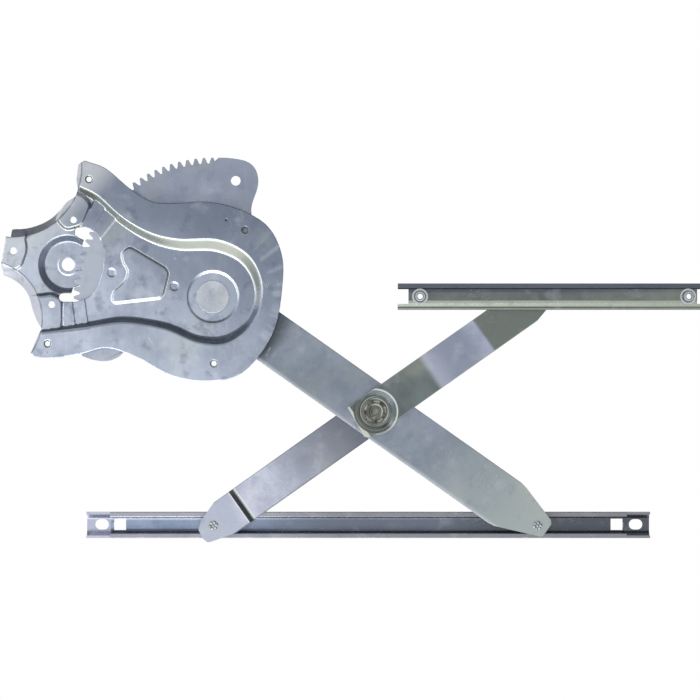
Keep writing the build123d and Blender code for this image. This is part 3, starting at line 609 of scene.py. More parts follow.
@dataclass(frozen=True)
class Plain:
    """Small hardware of one substance: bare steel, bronze or nylon."""

    name: str
    light: Colour
    dark: Colour
    roughness: float
    metallic: float
    scale: float = 220.0
    bump: float = 0.12

    def build(self) -> bpy.types.Material:
        """Make the material."""
        material, shader = new_material(self.name)
        even = shader.place()
        clouds = shader.noise(even, self.scale, 3.0, 0.6)
        fine = shader.noise(even, self.scale * 9, 2.0)
        colour = shader.mix(clouds.step(0.36, 0.64), self.dark, self.light)
        roughness = self.roughness + (fine - 0.5) * 0.16
        shader.surface(colour, self.metallic, roughness, fine + clouds * 0.5, strength=self.bump, depth=0.3)
        return material


def finished_mesh(piece: bpy.types.Object) -> None:
    """Replace a piece's mesh by the one that its modifiers give, and drop them."""
    evaluated = piece.evaluated_get(bpy.context.evaluated_depsgraph_get())
    mesh = bpy.data.meshes.new_from_object(evaluated)
    mesh.name = piece.name
    piece.modifiers.clear()
    piece.data = mesh


def new_piece(name: str, mesh: bpy.types.Mesh) -> bpy.types.Object:
    """Put a mesh in the scene as a piece of its own."""
    piece = bpy.data.objects.new(name, mesh)
    bpy.context.scene.collection.objects.link(piece)
    return piece


@contextmanager
def editing(mesh: bpy.types.Mesh) -> Iterator[bmesh.types.BMesh]:
    """Open a mesh for bmesh operators and write it back afterwards."""
    bm = bmesh.new()
    bm.from_mesh(mesh)
    yield bm
    bm.to_mesh(mesh)
    bm.free()


def shade(mesh: bpy.types.Mesh, crease: float) -> None:
    """Shade a mesh smooth, with edges above the crease angle, in degrees, kept sharp."""
    with editing(mesh) as bm:
        for face in bm.faces:
            face.smooth = True
        for edge in bm.edges:
            edge.smooth = len(edge.link_faces) == 2 and edge.calc_face_angle(0.0) < math.radians(crease)


@dataclass(frozen=True)
class Press:
    """One pressed form: how far it stands out of the floor, its ramp and how far its corners are cut."""

    rise: float
    ramp: float
    corner: float = 0.0


@dataclass
class PressedPlate:
    """Stamped base plate: a flat rim, a bell-shaped recess and what is pressed into it."""

    wall: float = PLATE_WALL
    recess: float = RECESS
    grid: float = 0.95
    edge_band: float = 0.55
    merge: float = 0.28
    beyond: float = -260.0
    # How the drawn wall bends from the rim to the floor, and what is pressed into the floor
    wall_reach: float = 1.2
    wall_flat: float = 0.07
    wall_bend: float = 0.28
    bend: float = 0.3
    pad_press: Press = Press(4.0, 3.0, 5.0)
    stair_presses: tuple[Press, ...] = (Press(2.4, 1.8), Press(1.2, 1.8))
    tab_press: Press = Press(2.5, 2.2)
    panel_press: Press = Press(1.6, 2.6, 3.5)
    dish_press: Press = Press(-1.4, 3.0)
    dish_r: float = 25.6
    collar_press: Press = Press(0.6, 1.6)
    collar_r: float = 10.6
    dimple_ramp: float = 1.5
    # Side flanges, which turn back round a hollow of the outline each
    high_hollow: tuple = ((-190.1, 123.2), 66.4)
    low_hollow: tuple = ((-217.9, -21.1), 56.3)
    flange_slope: float = 0.875
    flange_bend: float = 0.6
    rim_round: float = 0.35
    ripple_height: float = 0.045
    ripple_outer: Point = (54.0, 6.0)
    ripple_right: Point = (22.0, 22.0)
    ripples: Line = ((38.0, 0.4), (53.0, 2.1), (67.0, 4.0))
    # Where the walls show light or shade, and how far round each place that is measured
    light_from: Point = (-0.45, -0.9)
    lit_step: float = 0.4
    shade_step: float = 2.2
    shade_shift: Point = (-0.4, 1.4)
    shade_gain: float = 1.3
    shade_near: float = 0.6
    stair_contrast: float = 5.6
    panel_line: Point = (0.9, 0.3)
    pocket_shade: Point = (14.0, 29.5)
    hollow_rim: float = 0.8
    dimple_tone: float = 0.4
    # Pocket of the motor's pinion, then the outlines of all forms, as (x, z)
    pinion: Point = polar(PIVOT, 141.25, 167.5)
    pocket_r: float = 28.0
    pocket_floor_r: float = 22.0
    pocket_floor: float = 15.0
    pocket_bend: float = 0.22
    pocket_past: Point = (0.8, 1.2)
    rim: Line = (
        (-150, 117), (-127, 105), (-108, 96), (-86, 76), (-60, 61.5),
        (-33, 55.6), (6.7, 55), (36, 39), (48, 10), (41, -21), (16, -43),
        (-13, -43), (-46, -30), (-84, -23.6), (-121, -28), (-162, -33),
        (-185, -36),
    )
    floor: Line = (
        (-142, 108), (-119, 95.5), (-104, 83), (-80, 63.5), (-56, 50),
        (-31, 43.3), (2, 42), (27.5, 30), (39.5, 6), (33.5, -20), (12.5, -35.5),
        (-13, -36.5), (-43, -24.5), (-84, -19), (-117, -24), (-155, -29),
        (-185, -32),
    )
    ear: Line = ((-129.7, 95.7), (-128.2, 103), (-129, 112.1), (-127.2, 125.7))
    edge: Line = (
        (-121, 129), (-100.9, 121.5), (-78.1, 102.5), (-57.1, 90), (-35.2, 88.7),
        (-6.1, 89.9), (23, 83.8), (50.5, 68.7), (64.5, 44.6), (66.8, 15), (57.7, -33.7),
        (28.6, -72), (-6.1, -80.4), (-38.8, -75.2), (-68, -59.5), (-99, -48.7),
        (-126.2, -54.6), (-155.5, -58.8), (-167.3, -57.3),
    )
    toe: Line = ((-172.2, -53.3), (-165.5, -37.3), (-162.3, -30.9))
    low_flange: Line = (
        (-162.3, -30), (-167, -22.8), (-171.6, -12), (-174.6, -1), (-181.2, 9.6), (-191.6, 17.4),
        (-199.6, 20.6),
    )
    tab: Line = ((-199.9, 25.4), (-201, 32.4), (-196.4, 57.3), (-191.6, 56.9))
    high_flange: Line = (
        (-191.2, 64.6), (-179, 65), (-166.4, 68.2), (-154.8, 74), (-146.4, 81.6), (-139.4, 89.4),
        (-131, 94.6),
    )
    panel: Line = (
        (-80.5, 46.6), (-77, 46.6), (-44.8, 27.6), (-41.9, 22.5), (-47, 2.5), (-50, -1.2), (-93.5, -6),
        (-96, -2), (-94, 5), (-83, 15), (-80, 24), (-85.5, 33.5), (-86.5, 42),
    )
    high_pad: Line = (
        (-148.5, 73), (-136, 99), (-125, 99), (-115.5, 88.5), (-123.8, 67.6), (-139.5, 63.5),
    )
    low_pad: Line = (
        (-176, 0.5), (-152, 3.5), (-143, -1.8), (-142.6, -25.5), (-147, -35), (-176, -35.5),
    )
    high_stairs: tuple = (
        ((-129, 61), (-112, 92), (-100, 86), (-117.5, 59.5)),
        ((-117.5, 59.5), (-100, 86), (-90, 76), (-110.2, 50.6)),
    )
    low_stairs: tuple = (
        ((-142.6, -1.5), (-142.6, -33), (-129.5, -32), (-133.3, -1.5)),
        ((-133.3, -1.5), (-129.5, -32), (-117.6, -31), (-122.3, 2.4)),
    )
    window_side: Line = (
        (-130.4, 65.7), (-118.5, 65.7), (-108.6, 58.6), (-103.4, 44), (-104.4, 26), (-109, 10.6),
        (-116, 0.4), (-128.5, -4.7), (-141.4, -4.65),
    )
    tab_step: Line = (
        (-215, 26), (-186, 26.7), (-178.6, 38), (-176.8, 46), (-177.8, 54), (-180, 62),
        (-215, 64),
    )
    dimples: tuple = (((-96.2, 23.0), 1.2, 4.6), ((-36.5, 10.0), 1.2, 4.6), ((-35.5, 37.6), -0.5, 2.2))
    window_gap: float = 0.3
    window_sweep: Point = (-78.0, 54.0)
    window_notch: tuple = ((-141.4, -0.25), 4.4)
    window_start: Line = ((-128.0, 55.6), (-130.9, 58.6))
    window_foot: Point = (-134.3, 4.2)
    window_end: Point = (-122.9, 53.2)
    mount_holes: Line = ((-117.1, 111.4), (-156.4, -44.5), (1.4, -63.3), (30.9, 63.3))
    motor_holes: Line = ((-189.2, 43.1), (-132.0, 72.6), (-152.8, -7.9))
    pilot_hole: Point = (13.0, 72.7)
    mount_r: float = 3.4
    motor_r: float = 3.0
    pilot_r: float = 1.0
    shaft_r: float = 6.3

    def outline(self) -> list[Point]:
        """Whole outer edge of the sheet, its flanges included."""
        parts = [
            flowing(self.ear, 6), flowing(self.edge, 10), flowing(self.toe, 5), flowing(self.low_flange, 5),
            list(self.tab), flowing(self.high_flange, 5),
        ]
        return [point for part in parts for point in part]

    def window(self) -> list[Point]:
        """Opening that the sector's teeth pass through, round the free side of the pocket floor."""
        floor_edge = arc(self.pinion, self.pocket_floor_r + self.window_gap, *self.window_sweep, 22)
        steps = 4
        # The notch's arc takes the place of the last corner's points
        right = rounded(self.window_side, 3.0, steps)[: -(steps + 1)]
        left = arc(*self.window_notch, 270.0, 90.0, 10)
        return [*self.window_start, *right, *left, self.window_foot, *floor_edge, self.window_end]

    def holes(self) -> list[list[Point]]:
        """Every opening in the sheet."""
        rings = [circle(place, self.mount_r, 32) for place in self.mount_holes]
        rings += [circle(place, self.motor_r, 32) for place in self.motor_holes]
        rings += [circle(self.pilot_hole, self.pilot_r, 16), circle(self.pinion, self.shaft_r, 48)]
        rings += [self.window()]
        return rings

    def depth(self, places: np.ndarray) -> np.ndarray:
        """Depth of the sheet's front face behind the rim.

        Args:
            places: Rows of (x, z) in millimetres.

        Returns:
            Depth along +Y in millimetres.
        """
        in_rim = np.clip(inside_depth(self._closed(self.rim), places) + self.wall_reach, 0, None)
        out_floor = np.clip(self.wall_reach - inside_depth(self._closed(self.floor), places), 0, None)
        share = in_rim / (in_rim + out_floor + 1e-6)
        depth = self.recess * bend_over((share - self.wall_flat) / (1 - 2 * self.wall_flat), self.wall_bend)
        for pad in (self.high_pad, self.low_pad):
            depth = self._press(depth, places, rounded(pad, self.pad_press.corner), self.pad_press)
        for stairs in (self.high_stairs, self.low_stairs):
            for step, press in zip(stairs, self.stair_presses):
                depth = self._press(depth, places, list(step), press)
        depth = self._press(depth, places, flowing(self.tab_step, 4), self.tab_press)
        panel = rounded(self.panel, self.panel_press.corner)
        depth = depth - self.panel_press.rise * self._share(places, panel, self.panel_press.ramp)
        in_dish = (self.dish_r - distance_from(PIVOT, places)) / self.dish_press.ramp
        depth = depth - self.dish_press.rise * bend_over(in_dish, self.bend)
        for centre, rise, reach in self.dimples:
            depth = depth + rise * ease((reach - distance_from(centre, places)) / self.dimple_ramp)
        from_pinion = distance_from(self.pinion, places)
        past, ramp = self.pocket_past
        in_pocket = (self.pocket_r + past - from_pinion) / (self.pocket_r - self.pocket_floor_r + ramp)
        depth = depth + (self.pocket_floor - depth) * bend_over(in_pocket, self.pocket_bend)
        in_collar = (self.collar_r - from_pinion) / self.collar_press.ramp
        depth = depth - self.collar_press.rise * ease(in_collar)
        return depth + self._flange(places) + self._ripples(places)

    def _closed(self, line: Line) -> list[Point]:
        """Smooth line, closed beyond the sheet's left end."""
        return [*flowing(line), (self.beyond, line[-1][1]), (self.beyond, line[0][1])]

    def _ripples(self, places: np.ndarray) -> np.ndarray:
        """Slight radial waves in the right rim, where the sheet was gathered as it was drawn."""
        angle = np.arctan2(places[:, 1], places[:, 0])
        outer = ease((distance_from(PIVOT, places) - self.ripple_outer[0]) / self.ripple_outer[1])
        right = ease((places[:, 0] - self.ripple_right[0]) / self.ripple_right[1])
        waves = sum(np.sin(turns * angle + phase) for turns, phase in self.ripples)
        return self.ripple_height * outer * right * waves

    def _rise(self, places: np.ndarray, step: float) -> np.ndarray:
        """How steeply the sheet faces the light at each place, measured over a step to each side."""
        run_x = self.depth(places + (step, 0)) - self.depth(places - (step, 0))
        run_z = self.depth(places + (0, step)) - self.depth(places - (0, step))
        return (self.light_from[0] * run_x + self.light_from[1] * run_z) / (2 * step)

    def _share(self, places: np.ndarray, loop: list[Point], ramp: float) -> np.ndarray:
        """Share of a pressed form at each place, from 0 outside to 1 inside."""
        return bend_over(inside_depth(loop, places) / ramp + 0.5, self.bend)

    def _press(self, depth: np.ndarray, places: np.ndarray, loop: list[Point], press: Press) -> np.ndarray:
        """Bring the sheet to a form's level inside its loop, where the recess is deeper than that."""
        wanted = np.minimum(depth, self.recess - press.rise)
        return depth + (wanted - depth) * self._share(places, loop, press.ramp)

    def _flange(self, places: np.ndarray) -> np.ndarray:
        """How far the two side flanges turn back."""
        added = np.zeros(len(places))
        for centre, radius in (self.high_hollow, self.low_hollow):
            out = np.clip(radius - distance_from(centre, places), 0, None)
            bent = np.sqrt(out**2 + self.flange_bend**2) - self.flange_bend
            added += bent * self.flange_slope
        return added

    def tone(self, places: np.ndarray) -> np.ndarray:
        """Painted light and shade of the drawn walls at each place, from -1 in shade to 1 in light.

        Args:
            places: Rows of (x, z) in millimetres.

        Returns:
            The value that the finish paints as light and shade on the walls.
        """
        near = np.clip(self._rise(places, self.lit_step), -1, 1)
        wide = np.clip(self._rise(places + self.shade_shift, self.shade_step) * self.shade_gain, -1, 0)
        tone = np.where(near > 0, near, np.minimum(self.shade_near * near, wide))
        panel = self.panel_press
        steps = (*self.high_stairs, *self.low_stairs)
        stairs = np.clip(sum(self._share(places, list(step), panel.ramp) for step in steps), 0, 1)
        # The painted light and shade grow stronger along the stairs' edges
        tone = tone * (1 + self.stair_contrast * stairs * (1 - stairs))
        # A painted highlight line runs round the panel's outline
        width, line_tone = self.panel_line
        on_line = np.abs(inside_depth(rounded(self.panel, panel.corner), places) + width) < width
        tone = np.where(on_line, line_tone, tone)
        # Painted shade on all walls of the motor's pocket
        from_pinion = distance_from(self.pinion, places)
        in_pocket = (from_pinion > self.pocket_shade[0]) & (from_pinion < self.pocket_shade[1])
        tone = np.where(in_pocket, -np.abs(tone), tone)
        for centre, radius in (self.high_hollow, self.low_hollow):
            tone = np.where(distance_from(centre, places) < radius + self.hollow_rim, 0.0, tone)
        for centre, _, reach in self.dimples:
            near_dimple = distance_from(centre, places) < reach + self.dimple_ramp
            tone = np.where(near_dimple, self.dimple_tone * tone, tone)
        return tone

    def sheet_face(self) -> bmesh.types.BMesh:
        """Flat sheet with its outline and openings, cut into a fine grid."""
        bm = bmesh.new()
        edges = []
        for loop in [self.outline(), *self.holes()]:
            ring = [bm.verts.new((x, 0.0, z)) for x, z in loop]
            edges += [bm.edges.new(pair) for pair in zip(ring, ring[1:] + ring[:1])]
        bmesh.ops.triangle_fill(bm, use_beauty=True, use_dissolve=True, edges=edges, normal=(0, -1, 0))
        bmesh.ops.inset_region(
            bm, faces=bm.faces[:], use_boundary=True, use_even_offset=True, thickness=self.edge_band
        )
        corners = np.array([vert.co for vert in bm.verts])
        for axis, direction in ((0, (1, 0, 0)), (2, (0, 0, 1))):
            low, high = corners[:, axis].min(), corners[:, axis].max()
            for place in np.arange(low + self.grid / 2, high, self.grid):
                centre = Vector(direction) * float(place)
                geometry = bm.verts[:] + bm.edges[:] + bm.faces[:]
                bmesh.ops.bisect_plane(bm, geom=geometry, dist=1e-4, plane_co=centre, plane_no=direction)
        bmesh.ops.remove_doubles(bm, verts=bm.verts, dist=self.merge)
        return bm

    def build(self) -> bpy.types.Object:
        """Press the sheet and give it its wall."""
        bm = self.sheet_face()
        bm.verts.ensure_lookup_table()
        places = np.array([(vert.co.x, vert.co.z) for vert in bm.verts])
        depth = self.depth(places)
        for vert, y in zip(bm.verts, depth):
            fall = self.rim_round if vert.is_boundary else 0.0
            vert.co = Vector((vert.co.x, float(y) + fall, vert.co.z)) * MM
        mesh = bpy.data.meshes.new("pressed_base_plate")
        bm.to_mesh(mesh)
        bm.free()
        # Painted light and shade of the walls, kept on the mesh for the finish to read
        attribute = mesh.attributes.new("wall_light", "FLOAT", "POINT")
        attribute.data.foreach_set("value", self.tone(places).astype(np.float32))
        piece = new_piece("pressed_base_plate", mesh)
        facing = mesh.polygons[0].normal.y
        wall = piece.modifiers.new("wall", "SOLIDIFY")
        wall.thickness = self.wall * MM
        wall.offset = -1.0 if facing < 0 else 1.0
        wall.use_even_offset = True
        finished_mesh(piece)
        shade(piece.data, 50.0)
        return piece


@dataclass
class BrokenEdges:
    """A frame piece with its sheared or turned edges broken by a small bevel."""

    node: str
    width: float = 0.35
    segments: int = 2
    crease: float = 28.0
    flat: float = 0.4
    merge: float = 0.004
    crimps: tuple[tuple[float, float, int], ...] = ()
    petal_depth: float = 0.55
    petal_turn: float = 12.0

    def build(self, source: bpy.types.Object) -> bpy.types.Object:
        """Copy the node's mesh and break its edges.

        Args:
            source: The frame's own object, which stays as it is.

        Returns:
            The new piece.
        """
        bm = bmesh.new()
        bm.from_mesh(source.data)
        bmesh.ops.remove_doubles(bm, verts=bm.verts, dist=self.merge * MM)
        flat = math.radians(self.flat)
        bmesh.ops.dissolve_limit(bm, angle_limit=flat, verts=bm.verts, edges=bm.edges, delimit={"NORMAL"})
        mesh = bpy.data.meshes.new(f"finished_{self.node}")
        bm.to_mesh(mesh)
        bm.free()
        piece = new_piece(f"finished_{self.node}", mesh)
        bevel = piece.modifiers.new("broken edges", "BEVEL")
        bevel.width = self.width * MM
        bevel.segments = self.segments
        bevel.limit_method = "ANGLE"
        bevel.angle_limit = math.radians(self.crease)
        bevel.use_clamp_overlap = True
        bevel.harden_normals = False
        finished_mesh(piece)
        if self.crimps:
            self.crimp(piece.data)
        shade(piece.data, 40.0)
        even = piece.modifiers.new("even shading", "WEIGHTED_NORMAL")
        even.keep_sharp = True
        return piece

    def crimp(self, mesh: bpy.types.Mesh) -> None:
        """Upset the front end into petals, as a rotary riveter leaves it."""
        low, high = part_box(self.node)
        centre = Vector(((low[0] + high[0]) / 2, low[1], (low[2] + high[2]) / 2))
        flat = Matrix.Diagonal((1.0, self.petal_depth, 1.0, 1.0))
        with editing(mesh) as bm:
            for reach, radius, count in self.crimps:
                for turn in range(count):
                    x, z = polar(PIVOT, reach, 360.0 * turn / count + self.petal_turn)
                    place = Matrix.Translation(centre + Vector((x, 0.0, z)) * MM) @ flat
                    size = radius * MM
                    bmesh.ops.create_uvsphere(bm, u_segments=20, v_segments=12, radius=size, matrix=place)


def new_square(name: str, half: float) -> bpy.types.Object:
    """Put a flat square in the scene, given half its side in metres."""
    mesh = bpy.data.meshes.new(name)
    with editing(mesh) as bm:
        bmesh.ops.create_grid(bm, x_segments=1, y_segments=1, size=half)
    return new_piece(name, mesh)


@dataclass(frozen=True)
class Lamp:
    """Rectangular soft light, aimed at the middle of the object."""

    name: str
    place: Place
    width: float
    height: float
    radiance: float

    def build(self, middle: Vector) -> None:
        """Hang the lamp."""
        data = bpy.data.lights.new(self.name, "AREA")
        data.shape = "RECTANGLE"
        data.size = self.width * MM
        data.size_y = self.height * MM
        data.energy = self.radiance * math.pi * self.width * self.height * MM**2
        lamp = bpy.data.objects.new(self.name, data)
        lamp.location = Vector(self.place) * MM
        lamp.rotation_euler = (middle - lamp.location).to_track_quat("-Z", "Y").to_euler()
        bpy.context.scene.collection.objects.link(lamp)


@dataclass(frozen=True)
class Card:
    """Grey card that only reflections see, as a photographer hangs over metal."""

    name: str
    place: Place
    facing: Place
    side: float
    colour: Colour

    def build(self) -> None:
        """Hang the card."""
        card = new_square(self.name, self.side * MM / 2)
        card.location = Vector(self.place) * MM
        card.rotation_euler = Vector(self.facing).to_track_quat("Z", "Y").to_euler()
        material, shader = new_material(self.name)
        glow = shader.add("ShaderNodeEmission", {}, {"Color": (*self.colour, 1.0), "Strength": 1.0})
        shader.add("ShaderNodeOutputMaterial", {}, {"Surface": glow})
        card.data.materials.append(material)
        card.visible_camera = False
        card.visible_diffuse = False
        card.visible_shadow = False


@dataclass
class Studio:
    """Camera at the photograph's angle, plain soft light, a pale floor and a white background."""

    middle: Place = (130.4, 14.0, -50.5)
    view_width: float = 666.4
    distance: float = 3000.0
    floor_drop: float = 1500.0
    floor_half: float = 20000.0
    lamps: tuple[Lamp, ...] = (
        Lamp("wide light below", (-250.0, -560.0, -1150.0), 1500.0, 1500.0, 0.8),
        Lamp("strip light below", (-250.0, -1250.0, -930.0), 1500.0, 260.0, 6.0),
        Lamp("strip light at the left", (-1080.0, -1150.0, -100.0), 240.0, 1300.0, 3.0),
    )
    cards: tuple[Card, ...] = (
        Card("dark card above", (150.0, 100.0, 1150.0), (0.0, 0.0, -1.0), 2900.0, (0.10, 0.11, 0.13)),
        Card("dark card at the right", (1500.0, -150.0, 0.0), (-1.0, 0.0, 0.0), 2600.0, (0.13, 0.14, 0.16)),
    )

    def camera(self) -> None:
        """Set the camera square in front of the mounting side."""
        data = bpy.data.cameras.new("camera")
        data.sensor_width = 36.0
        data.lens = 36.0 * self.distance / self.view_width
        data.clip_end = 50.0
        camera = bpy.data.objects.new("camera", data)
        x, y, z = self.middle
        camera.location = Vector((x, y - self.distance, z)) * MM
        camera.rotation_euler = (math.radians(90.0), 0.0, 0.0)
        bpy.context.scene.collection.objects.link(camera)
        bpy.context.scene.camera = camera

    def floor(self) -> None:
        """Lay the pale floor below the object."""
        floor = new_square("floor", self.floor_half * MM)
        floor.location.z = -self.floor_drop * MM
        material, shader = new_material("floor")
        pale_grey = {"Base Color": (0.94, 0.94, 0.94, 1.0), "Roughness": 0.7}
        pale = shader.add("ShaderNodeBsdfPrincipled", {}, pale_grey)
        white = shader.add("ShaderNodeEmission", {}, {"Color": (1.0, 1.0, 1.0, 1.0), "Strength": 1.0})
        seen = self.seen_directly(shader)
        surface = shader.add("ShaderNodeMixShader", {}, [seen, pale, white])
        shader.add("ShaderNodeOutputMaterial", {}, {"Surface": surface})
        floor.data.materials.append(material)

    @staticmethod
    def seen_directly(shader: Shader) -> Link:
        """1 for rays that come from the camera, a mirror or a glass, and 0 for light on the object."""
        names = ("Is Camera Ray", "Is Glossy Ray", "Is Transmission Ray")
        camera, glossy, through = [shader.add("ShaderNodeLightPath", output=name) for name in names]
        return camera + glossy + through

    def world(self) -> None:
        """White background, with a softer level for the light that it gives."""
        world = bpy.data.worlds.new("studio")
        bpy.context.scene.world = world
        world.use_nodes = True
        shader = Shader(world.node_tree)
        strength = 0.55 + self.seen_directly(shader) * 0.45
        glow = shader.add("ShaderNodeBackground", {}, {"Color": (1.0, 1.0, 1.0, 1.0), "Strength": strength})
        shader.add("ShaderNodeOutputWorld", {}, {"Surface": glow})

    def build(self) -> None:
        """Set up the whole studio."""
        self.camera()
        self.world()
        self.floor()
        for lamp in self.lamps:
            lamp.build(Vector(self.middle) * MM)
        for card in self.cards:
            card.build()
        bpy.context.scene.view_settings.view_transform = "Standard"


# Where the side flanges' hollows lie, and the radii between which their bend gets a painted lighter tone,
# with painted shade along the crease at the outer radius
HOLLOWS = (((-190.1, 123.2), 20.0, 66.0), ((-217.9, -21.1), 20.0, 56.0))
# Where the rail nuts sit, and the radii of the rings of painted shade in their faces
RAIL_NUTS = (196.5, 449.5)
NUT_SHADES = ((1.5, 3.3), (4.6, 5.7))
